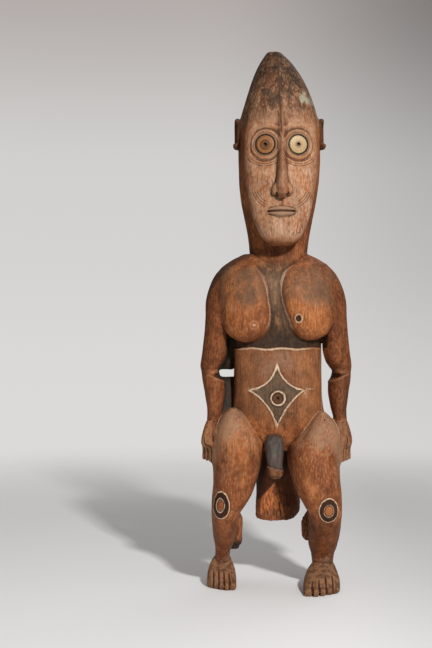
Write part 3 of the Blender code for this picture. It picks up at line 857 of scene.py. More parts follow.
@dataclass
class Arm:
    """One arm, held along the trunk, with its hand on the thigh."""

    side: Side
    upper: Sections = sections(
        (0.712, 0.098, 0.02, -0.02, 0.036), (0.686, 0.109, 0.034, -0.038, 0.054),
        (0.641, 0.118, 0.0395, -0.048, 0.062), (0.6, 0.1245, 0.0345, -0.048, 0.06),
        (0.56, 0.133, 0.029, -0.042, 0.053), (0.529, 0.1355, 0.03, -0.038, 0.048),
        (0.505, 0.1405, 0.029, -0.034, 0.045), (0.487, 0.147, 0.024, -0.028, 0.041),
        (0.474, 0.15, 0.013, -0.012, 0.03),
    )
    fore: Sections = sections(
        (0.49, 0.147, 0.012, -0.036, 0.018), (0.48, 0.1455, 0.022, -0.052, 0.034),
        (0.455, 0.1405, 0.024, -0.06, 0.03), (0.43, 0.1375, 0.022, -0.061, 0.02),
        (0.405, 0.1375, 0.018, -0.058, 0.006), (0.38, 0.14, 0.015, -0.055, -0.006),
        (0.362, 0.143, 0.0145, -0.056, -0.01),
    )
    palm: Sections = sections(
        (0.374, 0.142, 0.014, -0.056, -0.01), (0.352, 0.1455, 0.018, -0.062, -0.004),
        (0.332, 0.149, 0.019, -0.064, -0.002), (0.316, 0.151, 0.0165, -0.06, -0.004),
    )
    webs: tuple[Sections, ...] = (
        sections(
            (0.376, -0.118, 0.02, -0.026, 0.008), (0.4, -0.114, 0.02, -0.016, 0.02),
            (0.44, -0.111, 0.02, -0.006, 0.03), (0.468, -0.112, 0.018, 0.004, 0.028),
        ),
        sections(
            (0.484, -0.112, 0.018, 0.01, 0.034), (0.512, -0.109, 0.019, 0.002, 0.042),
            (0.556, -0.108, 0.019, -0.004, 0.048), (0.59, -0.11, 0.019, -0.004, 0.05),
        ),
    )
    palm_turn: float = 0.55
    finger_row: tuple[tuple[float, float], tuple[float, float]] = (
        (0.1385, -0.059),
        (0.1615, -0.022),
    )
    finger_radius: float = 0.0068
    finger_heights: tuple[float, float] = (0.33, 0.284)
    finger_drop: float = 0.005
    wrist_z: float = 0.374
    thumb: tuple[tuple[float, float, float], ...] = (
        (0.134, -0.058, 0.356),
        (0.1335, -0.068, 0.318),
    )

    def solids(self) -> list[Solid]:
        """Upper arm, forearm, hand and, on the right, the wood left in the slot.

        Returns:
            The closed solids, to be fused later.
        """
        side = self.side.value
        made = [
            upright(f"arm upper {side}", self.upper, 2.2, side),
            upright(f"arm fore {side}", self.fore, 2.2, side, spacing=2.5 * MM),
            upright(f"hand {side}", self.palm, 2.6, side, self.palm_turn * side, 2 * MM),
        ]
        if self.side is Side.RIGHT:
            made += [upright(f"web {i}", keys, 2.6) for i, keys in enumerate(self.webs)]
        return made + self.fingers()

    def fingers(self) -> list[Solid]:
        """Four fingers in a row and the thumb in front of them.

        Returns:
            The closed solids, to be fused later.
        """
        side = self.side.value
        (x0, y0), (x1, y1) = self.finger_row
        high, low = self.finger_heights
        made = []
        for i in range(4):
            share = i / 3
            x, y = x0 + (x1 - x0) * share, y0 + (y1 - y0) * share
            drop = self.finger_drop * math.sin(math.pi * (share + 0.35) / 1.7)
            top = Vector((side * (x - 0.002), y, high))
            tip = Vector((side * (x + 0.0015), y, low - drop))
            made.append(capsule(f"hand finger {side} {i}", top, tip, self.finger_radius, 0.08))
        top, tip = (Vector((side * x, y, z)) for x, y, z in self.thumb)
        made.append(capsule(f"hand thumb {side}", top, tip, self.finger_radius, 0.08))
        return made

    def relief(self, points: Array) -> Array:
        """Creases at the elbow and the wrist.

        Args:
            points: Rows of xyz on the fused skin.

        Returns:
            Height for each point, in metres.
        """
        x, y, z = points.T
        out = x * self.side.value
        own = smooth(out, 0.104, 0.112)
        ahead = own * smooth(y, 0.022, -0.01)
        notch = z - 0.4765 - 0.1 * (out - 0.14)
        open_ = 3.0 * MM + 0.38 * np.maximum(0.15 - out, 0.0)
        wedge = smooth(np.abs(notch) / open_, 1.05, 0.1)
        total = -11.0 * MM * wedge * ahead * smooth(out, 0.158, 0.122)
        ledge = bump_up((notch + open_ + 1.0 * MM) / MM, 3.6)
        total += 1.5 * MM * ledge * ahead * smooth(out, 0.164, 0.15)
        wrist = z - self.wrist_z - 0.1 * (y + 0.03)
        hand = smooth(out, 0.122, 0.128) * smooth(z, 0.36, 0.35) * smooth(z, 0.272, 0.28)
        total -= 0.7 * MM * bump_up(wrist, 2.2 * MM) * smooth(out, 0.122, 0.128)
        knuckles = z - 0.3315 - 0.05 * (y + 0.03)
        total -= 0.3 * MM * bump_up(knuckles, 2.4 * MM) * smooth(out, 0.122, 0.128)
        groove = bump_up(finger_gap(out, y), 1.7 * MM) * smooth(z, 0.343, 0.335)
        total -= 3.0 * MM * groove * hand * smooth(y, 0.004, 0.0)
        return total


def finger_gap(out: Value, y: Value) -> Value:
    """Distance across the row of fingers to the nearest gap between two of them.

    Args:
        out: Positions outwards from the figure's middle.
        y: Positions back.

    Returns:
        The distance in metres.
    """
    (x0, y0), (x1, y1) = Arm.finger_row
    length = math.hypot(x1 - x0, y1 - y0)
    along = ((out - x0) * (x1 - x0) + (y - y0) * (y1 - y0)) / length
    middle = abs(along - length / 2)
    return least(middle, abs(middle - length / 3))


@dataclass
class Leg:
    """One leg with its foot, and what is left of the strut behind its calf."""

    side: Side
    limb: Sections
    foot: tuple[Slice, ...]
    strut: Sections
    toe_x: float
    toe_half: float
    toe_tip_y: float
    toe_length: float = 0.03
    toe_sweep: float = 0.045
    longest: float = 0.2
    toe_radii: tuple[float, float] = (0.0095, 0.0068)
    toe_heights: tuple[float, float] = (0.0125, 0.007)

    def solids(self) -> list[Solid]:
        """The leg, its foot, toes and strut.

        Returns:
            The closed solids, to be fused later.
        """
        name = self.side.label
        return [
            upright(f"leg {name}", self.limb, 2.5),
            lying(f"foot {name}", self.foot),
            upright(f"strut {name}", self.strut, 3.2, spacing=2.5 * MM),
            *self.toes(),
        ]

    def toe_line(self, share: float) -> tuple[float, float]:
        """x and tip y of a toe, by its place in the row from the big toe at 0."""
        x = self.toe_x - self.side.value * self.toe_half * (1 - 2 * share)
        return x, self.toe_tip_y + self.toe_sweep * abs(share - self.longest) ** 1.6

    def toes(self) -> list[Solid]:
        """Five toes across the front of the foot.

        Returns:
            The closed solids, to be fused later.
        """
        made = []
        big, small = self.toe_radii
        for i in range(5):
            share = i / 4
            x, tip_y = self.toe_line(share)
            root = Vector((x, tip_y + self.toe_length, self.toe_heights[0]))
            tip = Vector((x, tip_y, self.toe_heights[1]))
            made.append(capsule(f"foot toe {i}", root, tip, big + (small - big) * share, 0.06))
        return made

    def toe_gaps(self, x: Value, y: Value) -> Value:
        """1 in the four grooves that part the toes and run back between them.

        Args:
            x: Positions across.
            y: Positions back.

        Returns:
            The mask.
        """
        total = x * 0.0
        for i in range(4):
            gap_x, tip_y = self.toe_line((i + 0.5) / 4)
            fan = smooth(y, tip_y + 0.015, tip_y + 0.05) * ((gap_x - self.toe_x) * -0.25)
            groove = band(x - fan - gap_x, 3.2 * MM, 1.6 * MM)
            total = total + groove * smooth(y, tip_y + 0.034, tip_y + 0.02)
        return total

    def relief(self, points: Array) -> Array:
        """Grooves between the toes and the raised knee with its rings.

        Args:
            points: Rows of xyz on the fused skin.

        Returns:
            Height for each point, in metres.
        """
        x, y, z = points.T
        own = smooth(x * self.side.value, 0.045, 0.055)
        grooves = self.toe_gaps(x, y) * smooth(z, 0.042, 0.032) * smooth(z, 0.0, 0.004)
        total = -3.2 * MM * grooves * own
        ring = KNEES[0] if self.side is Side.RIGHT else KNEES[1]
        reach = ring.reach(x, y, z)
        knee = own * smooth(y, -0.02, -0.04) * smooth(x * self.side.value, 0.072, 0.08)
        total += 1.0 * MM * (1 - smooth(reach, ring.radius * 0.9, ring.radius * 1.1)) * knee
        total += 0.7 * MM * band(reach - ring.radius * 0.94, 3.4 * MM, MM) * knee
        total -= 0.9 * MM * band(reach - ring.radius * 0.42, 3.0 * MM, MM) * knee
        return total


@dataclass
class Stump:
    """What is left of the stool behind the legs, with its rough broken foot."""

    column: Sections = sections(
        (0.139, 0.002, 0.0435, 0.026, 0.1195), (0.148, 0.0045, 0.0485, 0.0245, 0.1195),
        (0.162, 0.0072, 0.052, 0.024, 0.119), (0.2, 0.008, 0.052, 0.023, 0.118),
        (0.28, 0.006, 0.05, 0.019, 0.113), (0.34, 0.004, 0.047, 0.014, 0.102),
        (0.385, 0.002, 0.04, 0.01, 0.08),
    )

    def solids(self) -> list[Solid]:
        """The column."""
        return [upright("stump", self.column, 2.4)]

    def relief(self, points: Array, noise: Noise) -> Array:
        """Adze strokes down the column and splinters at its foot.

        Args:
            points: Rows of xyz on the fused skin.
            noise: The tool marks' noise.

        Returns:
            Height for each point, in metres.
        """
        x, y, z = points.T
        own = smooth(y, 0.012, 0.02) * smooth(z, 0.32, 0.26)
        own *= smooth(np.abs(x - 0.008), 0.062, 0.058)
        strokes = noise(points, (0.01, 0.014, 0.02)) * 1.8 * MM
        splinters = noise(points, (0.0035, 0.0035, 0.01)) * 1.1 * MM
        low = smooth(z, 0.24, 0.18)
        total = own * (strokes + splinters * (0.35 + 0.65 * low) - 1.3 * MM)
        broken = span(y, -0.01, -0.004, 0.046, 0.052) * smooth(z, 0.182, 0.172)
        ends = smooth(np.abs(x), 0.107, 0.103)
        broken *= smooth(z, 0.082, 0.088) * ends * smooth(np.abs(x), 0.058, 0.062)
        chips = noise(points, (0.005, 0.005, 0.01)) * 1.5 * MM - 0.9 * MM
        return total + broken * (chips + splinters)


def right_leg() -> Leg:
    """The right leg, which stands a little shorter and further back.

    Returns:
        The leg with its own sections.
    """
    return Leg(
        side=Side.RIGHT,
        limb=sections(
            (0.401, -0.097, 0.007, -0.073, -0.03), (0.388, -0.097, 0.022, -0.081, 0.0),
            (0.366, -0.096, 0.038, -0.09, 0.042), (0.344, -0.092, 0.05, -0.098, 0.062),
            (0.321, -0.086, 0.0575, -0.103, 0.066), (0.283, -0.088, 0.0545, -0.106, 0.058),
            (0.236, -0.094, 0.047, -0.108, 0.034), (0.212, -0.1, 0.043, -0.109, 0.016),
            (0.189, -0.108, 0.0365, -0.108, 0.002), (0.169, -0.114, 0.0305, -0.101, 0.0),
            (0.146, -0.1155, 0.028, -0.087, 0.01), (0.12, -0.116, 0.0255, -0.068, 0.024),
            (0.097, -0.117, 0.021, -0.047, 0.03), (0.074, -0.12, 0.0165, -0.022, 0.036),
            (0.04, -0.1215, 0.017, -0.006, 0.042),
        ),
        foot=sections(
            (0.068, -0.12, 0.012, -0.012, 0.022), (0.054, -0.12, 0.021, -0.02, 0.046),
            (0.028, -0.121, 0.025, -0.024, 0.068), (0.002, -0.1225, 0.03, -0.024, 0.064),
            (-0.016, -0.1225, 0.033, -0.02, 0.047), (-0.032, -0.118, 0.028, -0.014, 0.031),
            (-0.044, -0.11, 0.018, -0.006, 0.018),
            kind=Slice,
        ),
        strut=sections(
            (0.08, -0.094, 0.01, 0.002, 0.038), (0.098, -0.09, 0.015, -0.004, 0.046),
            (0.142, -0.09, 0.0155, -0.006, 0.044), (0.168, -0.096, 0.012, -0.006, 0.03),
        ),
        toe_x=-0.123,
        toe_half=0.024,
        toe_tip_y=-0.058,
    )


def left_leg() -> Leg:
    """The left leg.

    Returns:
        The leg with its own sections.
    """
    return Leg(
        side=Side.LEFT,
        limb=sections(
            (0.393, 0.098, 0.007, -0.073, -0.03), (0.381, 0.099, 0.02, -0.081, 0.0),
            (0.36, 0.0985, 0.037, -0.091, 0.04), (0.339, 0.094, 0.05, -0.098, 0.06),
            (0.317, 0.085, 0.059, -0.104, 0.066), (0.281, 0.082, 0.0575, -0.108, 0.058),
            (0.25, 0.085, 0.054, -0.11, 0.04), (0.218, 0.092, 0.049, -0.112, 0.02),
            (0.186, 0.1005, 0.0405, -0.111, 0.002), (0.1665, 0.1055, 0.0355, -0.104, -0.002),
            (0.146, 0.1055, 0.035, -0.092, 0.008), (0.124, 0.105, 0.0345, -0.077, 0.018),
            (0.0945, 0.103, 0.0315, -0.057, 0.018), (0.074, 0.103, 0.0255, -0.043, 0.014),
            (0.04, 0.104, 0.0215, -0.036, 0.012),
        ),
        foot=sections(
            (0.034, 0.104, 0.013, -0.012, 0.022), (0.02, 0.104, 0.023, -0.02, 0.044),
            (-0.006, 0.104, 0.029, -0.024, 0.064), (-0.034, 0.1, 0.036, -0.024, 0.06),
            (-0.062, 0.097, 0.0405, -0.02, 0.045), (-0.082, 0.091, 0.036, -0.014, 0.03),
            (-0.096, 0.082, 0.023, -0.006, 0.018),
            kind=Slice,
        ),
        strut=sections(
            (0.098, 0.079, 0.012, 0.0, 0.034), (0.108, 0.074, 0.015, -0.004, 0.042),
            (0.136, 0.074, 0.016, -0.006, 0.042), (0.166, 0.084, 0.013, -0.006, 0.028),
        ),
        toe_x=0.096,
        toe_half=0.031,
        toe_tip_y=-0.115,
    )


# Fusing, softening and cutting the skin


def put(name: str, data: bpy.types.ID) -> Body:
    """A new object in the scene.

    Args:
        name: The object's name.
        data: What it shows.

    Returns:
        The object.
    """
    made = bpy.data.objects.new(name, data)
    bpy.context.scene.collection.objects.link(made)
    return made


def new_mesh(name: str, points: Array, faces: Sequence[Sequence[int]]) -> Mesh:
    """A mesh from points and faces.

    Args:
        name: The mesh's name.
        points: Rows of xyz.
        faces: The faces' corners.

    Returns:
        The mesh.
    """
    mesh = bpy.data.meshes.new(name)
    mesh.from_pydata(points.tolist(), [], faces)
    mesh.update()
    return mesh


def vectors(items: bpy.types.bpy_prop_collection, key: str) -> Array:
    """A property of a mesh's items as rows of xyz.

    Args:
        items: The points or normals.
        key: The property's name.

    Returns:
        One row for each.
    """
    flat = np.empty(len(items) * 3, np.float32)
    items.foreach_get(key, flat)
    return flat.reshape(-1, 3).astype(float)


def evaluated(holder: Body) -> Mesh:
    """The plain mesh that an object's modifiers make; the object is then removed.

    Args:
        holder: The object.

    Returns:
        The mesh.
    """
    graph = bpy.context.evaluated_depsgraph_get()
    made = bpy.data.meshes.new_from_object(holder.evaluated_get(graph))
    bpy.data.objects.remove(holder)
    return made


def applied(mesh: Mesh, kind: str, **settings: object) -> Mesh:
    """A mesh after one modifier.

    Args:
        mesh: The mesh it starts from.
        kind: The modifier's type.
        settings: The modifier's own settings.

    Returns:
        A new mesh.
    """
    holder = put("holder", mesh)
    if "weights" in settings:
        group = holder.vertex_groups.new(name="weights")
        levels = np.round(np.asarray(settings.pop("weights")) * 8).astype(int)
        for level in np.unique(levels):
            members = np.nonzero(levels == level)[0].tolist()
            group.add(members, float(level) / 8, "REPLACE")
        settings["vertex_group"] = "weights"
    modifier = holder.modifiers.new(kind.title(), kind)
    for name, value in settings.items():
        setattr(modifier, name, value)
    return evaluated(holder)


def joined(bodies: Sequence[tuple[Array, Sequence]]) -> tuple[Array, list[tuple[int, ...]]]:
    """Several bodies' points and faces as one.

    Args:
        bodies: The points and faces of each.

    Returns:
        All the points, and faces that count through them.
    """
    faces, start = [], 0
    for points, own in bodies:
        faces += [tuple(start + i for i in face) for face in own]
        start += len(points)
    return np.concatenate([points for points, _ in bodies]), faces


class Skin:
    """A fused surface held as arrays, so that it can be softened and carved."""

    def __init__(self, mesh: Mesh) -> None:
        """Reads the mesh's points and edges.

        Args:
            mesh: The mesh, which is kept for writing back.
        """
        self.mesh = mesh
        self.points = vectors(mesh.vertices, "co")
        ends = np.empty(len(mesh.edges) * 2, np.int32)
        mesh.edges.foreach_get("vertices", ends)
        self.ends = ends.reshape(-1, 2)
        self.degree = np.maximum(np.bincount(ends, minlength=len(self.points)), 1)

    def around(self, values: Array, ends: Array | None = None) -> Array:
        """The mean of each point's neighbours.

        Args:
            values: One row for each point.
            ends: The edges to follow; all of them if none are given.

        Returns:
            The means, right for every point whose edges are all followed.
        """
        first, second = self.ends.T if ends is None else ends.T
        count = len(self.points)
        total = np.empty_like(values)
        for axis in range(values.shape[1]):
            column = values[:, axis]
            total[:, axis] = np.bincount(first, column[second], count)
            total[:, axis] += np.bincount(second, column[first], count)
        return total / self.degree[:, None]

    def soften(self, rounds: int, amount: Array | float = 0.5) -> None:
        """Smooths the surface without letting it shrink much.

        Args:
            rounds: How many times.
            amount: How strongly, for each point or for all.
        """
        weight = np.asarray(amount).reshape(-1, 1)
        for _ in range(rounds):
            self.points += weight * (self.around(self.points) - self.points)
            self.points -= weight * 0.9 * (self.around(self.points) - self.points)

    def melt(self, rounds: int, amount: Array) -> None:
        """Lets the surface sink into its valleys and round its edges.

        Args:
            rounds: How many times.
            amount: How strongly for each point, from 0 to 1.
        """
        touched = amount > 0.01
        pairs = self.ends[touched[self.ends].any(axis=1)]
        weight = np.where(touched, 0.7 * amount, 0.0)[:, None]
        for _ in range(rounds):
            self.points += weight * (self.around(self.points, pairs) - self.points)

    def normals(self) -> Array:
        """Unit normals at the points."""
        self.write()
        return vectors(self.mesh.vertex_normals, "vector")

    def write(self) -> None:
        """Puts the points back in the mesh."""
        self.mesh.vertices.foreach_set("co", self.points.astype(np.float32).ravel())
        self.mesh.update()

    def hollows(self, rounds: Sequence[int]) -> list[Array]:
        """How far the surface lies under its own smoothed shape, at several sizes.

        Args:
            rounds: Rising numbers of smoothing rounds.

        Returns:
            One array for each number, in metres, positive in hollows.
        """
        normals = self.normals()
        smoothed, done, found = self.points.copy(), 0, []
        for stop in rounds:
            for _ in range(stop - done):
                smoothed += 0.7 * (self.around(smoothed) - smoothed)
            done = stop
            found.append(((smoothed - self.points) * normals).sum(1))
        return found


def nearer(points: Array, wanted: Sequence[Solid], others: Sequence[Solid], where: Array) -> Array:
    """Signed distance between two families of forms: positive on the wanted ones.

    Args:
        points: Rows of xyz on the fused skin.
        wanted: The forms to be told apart.
        others: The forms they meet.
        where: Which points to work out; the rest get a large negative value.

    Returns:
        Distance to the others less distance to the wanted forms.
    """
    result = np.full(len(points), -0.05)
    families = [[solid.surface() for solid in family] for family in (wanted, others)]
    for index in np.nonzero(where)[0]:
        place = Vector(points[index])
        own, rest = (min(tree.find_nearest(place)[3] for tree in trees) for trees in families)
        result[index] = rest - own
    return result


@dataclass
class CarvedFigure:
    """The whole carving as one skin."""

    voxel: float = 0.0015
    most_triangles: int = 190_000
    head: Head = field(default_factory=Head)
    trunk: Trunk = field(default_factory=Trunk)
    arms: tuple[Arm, ...] = field(default_factory=lambda: tuple(Arm(side) for side in Side))
    legs: tuple[Leg, ...] = field(default_factory=lambda: (right_leg(), left_leg()))
    stump: Stump = field(default_factory=Stump)
    tool_marks: Noise = field(default_factory=lambda: Noise(11))
    solids: dict[str, Solid] = field(default_factory=dict)

    def __post_init__(self) -> None:
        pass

    def fused(self) -> Mesh:
        """Every form joined into one skin.

        Returns:
            The skin, still with its steps.
        """
        made = [*self.head.solids(), *self.trunk.solids(), *self.stump.solids()]
        for part in (*self.arms, *self.legs):
            made += part.solids()
        self.solids = {solid.name: solid for solid in made}
        mesh = new_mesh("forms", *joined([(solid.points, solid.faces) for solid in made]))
        return applied(mesh, "REMESH", mode="VOXEL", voxel_size=self.voxel, adaptivity=0.0)

    def named(self, *starts: str) -> list[Solid]:
        """The solids whose names start with any of these words."""
        return [solid for name, solid in self.solids.items() if name.startswith(starts)]

    def chest(self, points: Array) -> Array:
        """Signed distance that is positive off the breasts, on the chest's front.

        Args:
            points: Rows of xyz on the fused skin.

        Returns:
            The distance in metres.
        """
        x, y, z = points.T
        where = (z > 0.52) & (z < 0.75) & (y < -0.02) & (np.abs(x) < 0.125)
        others = self.named("torso", "head", "arm upper")
        return -nearer(points, self.named("breast"), others, where)

    def carve(self) -> Mesh:
        """The skin softened, carved in relief, cut flat below and bored for the eyes.

        Returns:
            The carved mesh, before it is thinned.
        """
        skin_ = Skin(self.fused())
        LOG.info("fused skin: %d points", len(skin_.points))
        skin_.soften(6, 0.5)
        skin_.melt(self.steps(8.0 * MM), self.blends(skin_.points))
        LOG.info("softened")
        chest = self.chest(skin_.points)
        normals = skin_.normals()
        points = skin_.points
        height = self.head.relief(points) + self.trunk.relief(points, chest)
        for part in (*self.arms, *self.legs):
            height += part.relief(points)
        height += self.stump.relief(points, self.tool_marks)
        height += self.facets(points)
        skin_.points = points + normals * height[:, None]
        self.bore_nostrils(skin_)
        skin_.soften(1, 0.3)
        skin_.write()
        return self.cut(skin_.mesh)

    def steps(self, reach: float) -> int:
        """How many rounds of melting spread the surface over this distance."""
        return round(2 * (reach / self.voxel) ** 2 / 0.7)

    def blends(self, points: Array) -> Array:
        """Where forms run into each other without an edge, such as the brow into the crown.

        Args:
            points: Rows of xyz on the fused skin.

        Returns:
            How strongly each point melts, from 0 to 1.
        """
        x, y, z = points.T
        front = smooth(y, 0.01, -0.02)
        wide = np.abs(x - 0.003)
        above = smooth(z, 0.65, 0.69) * smooth(wide, 0.05, 0.08) * smooth(z, 0.76, 0.73)
        beside = smooth(wide, 0.094, 0.108) * smooth(z, 0.58, 0.625) * smooth(z, 0.73, 0.7)
        hips = smooth(wide, 0.1, 0.115) * smooth(z, 0.335, 0.3) * smooth(z, 0.2, 0.26)
        across = np.abs(x - FACE_X)
        temple = smooth(across, 0.026, 0.04) * smooth(z, 0.84, 0.9)
        crown = np.maximum(temple, smooth(z, 1.045, 1.075)) * smooth(z, 1.195, 1.18)
        crown = crown * smooth(y, 0.03, 0.0) * (1 - smooth(across, 0.086, 0.09))
        behind = smooth(y, 0.01, 0.03) * smooth(z, 0.27, 0.32) * smooth(z, 0.76, 0.7)
        elbow = smooth(np.abs(x), 0.136, 0.152) * smooth(np.abs(z - 0.48), 0.05, 0.025)
        masks = (front * above, front * beside, hips, crown, 0.7 * behind, elbow)
        return np.clip(np.max(masks, axis=0), 0, 1)

    def facets(self, points: Array) -> Array:
        """The knife's flats: long shallow facets down the grain.

        Args:
            points: Rows of xyz on the fused skin.

        Returns:
            Height for each point, in metres.
        """
        broad = self.tool_marks(points, (0.022, 0.022, 0.05)) * 0.45 * MM
        small = self.tool_marks(points[:, [1, 0, 2]], (0.008, 0.008, 0.02)) * 0.24 * MM
        fine = self.tool_marks(points[:, [2, 0, 1]], (0.006, 0.0035, 0.0035)) * 0.1 * MM
        return broad + small + fine

    def bore_nostrils(self, skin_: Skin) -> None:
        """Pushes the nostrils up into the nose.

        Args:
            skin_: The skin, which is changed.
        """
        x, y, z = skin_.points.T
        for side in Side:
            reach = np.hypot((x - FACE_X - side.value * 0.0105) / 0.005, (y + 0.1045) / 0.0075)
            under = smooth(z, NOSE_BASE_Z + 0.008, NOSE_BASE_Z + 0.003)
            under *= smooth(z, NOSE_BASE_Z - 0.012, NOSE_BASE_Z - 0.009)
            skin_.points[:, 2] += 5 * MM * (1 - smooth(reach, 0.55, 1.05)) * under

    def cut(self, mesh: Mesh) -> Mesh:
        """The mesh cut flat at the ground and bored for the eyes.

        Args:
            mesh: The closed skin.

        Returns:
            A new mesh.
        """
        ground = bmesh.new()
        bmesh.ops.create_cube(ground, size=1)
        ground.transform(Matrix.Translation((0, 0, -0.1)) @ Matrix.Diagonal((1, 1, 0.2, 1)))
        tools = [ground]
        width = {"radius1": SOCKET_RADIUS, "radius2": SOCKET_RADIUS}
        for side in Side:
            bore = bmesh.new()
            bmesh.ops.create_cone(bore, cap_ends=True, segments=96, depth=0.04, **width)
            bore.transform(eye_place(side) @ Matrix.Translation((0, 0, 0.02)))
            tools.append(bore)
        for tool in tools:
            shape = bpy.data.meshes.new("tool")
            tool.to_mesh(shape)
            tool.free()
            cutter = put("tool", shape)
            how = {"operation": "DIFFERENCE", "solver": "MANIFOLD", "object": cutter}
            mesh = applied(mesh, "BOOLEAN", **how)
            bpy.data.objects.remove(cutter)
        return mesh

    def thinned(self, mesh: Mesh) -> Mesh:
        """The mesh with fewer triangles, fewest where it is plain.

        Args:
            mesh: The carved mesh.

        Returns:
            A mesh within the limit.
        """
        triangles = sum(len(face.vertices) - 2 for face in mesh.polygons)
        if triangles <= self.most_triangles:
            return mesh
        points = Skin(mesh).points
        x, y, z = points.T
        face = smooth(y, -0.045, -0.06) * smooth(z, CHIN_Z - 0.01, CHIN_Z)
        hands = smooth(z, 0.37, 0.36) * smooth(np.abs(x), 0.12, 0.125)
        tips = np.maximum(smooth(z, 0.05, 0.04), hands)
        marks = smooth(y, -0.045, -0.055) * smooth(np.abs(z - 0.44), 0.12, 0.1)
        marks *= smooth(np.abs(x), 0.1, 0.08) * 0.4
        keep = np.maximum(face, np.maximum(tips, marks))
        share = self.most_triangles / triangles
        return applied(
            mesh, "DECIMATE", ratio=share, weights=1 - 0.9 * keep, vertex_group_factor=1e-6
        )

    def build(self) -> Body:
        """The finished carving, with what its finish reads stored on its points.

        Returns:
            The object, at the origin.
        """
        dense = self.carve()
        full = Skin(dense)
        fine, broad = full.hollows((self.steps(1.6 * MM), self.steps(5.0 * MM)))
        tree = KDTree(len(full.points))
        for index, place in enumerate(full.points):
            tree.insert(place, index)
        tree.balance()
        mesh = self.thinned(dense)
        mesh.name = "carved_wood"
        final = Skin(mesh)
        source = np.array([tree.find(place)[1] for place in final.points])
        self.store(mesh, "hollow_fine", fine[source])
        self.store(mesh, "hollow_broad", broad[source])
        points = final.points
        self.store(mesh, "chest", self.chest(points))
        x, y, z = points.T
        loins = (z > 0.24) & (z < 0.42) & (y < 0.0)
        middle = (z > 0.235) & (z < 0.36) & (y < -0.03) & (np.abs(x) < 0.05)
        beside = (z > 0.265) & (z < 0.4) & (np.abs(x) > 0.118)
        for name, wanted, others, where in (
            ("thigh", "leg", ("torso", "member", "arm", "hand"), loins),
            ("member", "member", ("torso", "leg", "stump"), middle),
            ("hand", "hand", ("leg", "arm"), beside),
        ):
            apart = nearer(points, self.named(wanted), self.named(*others), where)
            if name == "thigh":
                apart = np.where(z < 0.25, 0.05, apart)
            self.store(mesh, name, apart)
        mesh.shade_smooth()
        return put("carved_figure", mesh)

    @staticmethod
    def store(mesh: Mesh, name: str, values: Array) -> None:
        """Keeps a value on each point of the mesh."""
        layer = mesh.attributes.new(name, "FLOAT", "POINT")
        layer.data.foreach_set("value", np.asarray(values, np.float32))


# Eye inlays


def turned(name: str, profile: Sequence[tuple[float, float]], sides: int) -> Solid:
    """A closed ring turned about z from (radius, height) points.

    Args:
        name: The solid's name.
        profile: The ring cut across.
        sides: How many points round it.

    Returns:
        The closed solid.
    """
    turn = 2 * math.pi * np.arange(sides) / sides
    rings = np.empty((len(profile), sides, 3))
    for ring, (radius, height) in zip(rings, profile):
        ring[:, 0] = radius * np.cos(turn)
        ring[:, 1] = radius * np.sin(turn)
        ring[:, 2] = height
    return Solid(name, rings.reshape(-1, 3), strips(len(profile), sides, closed=True))


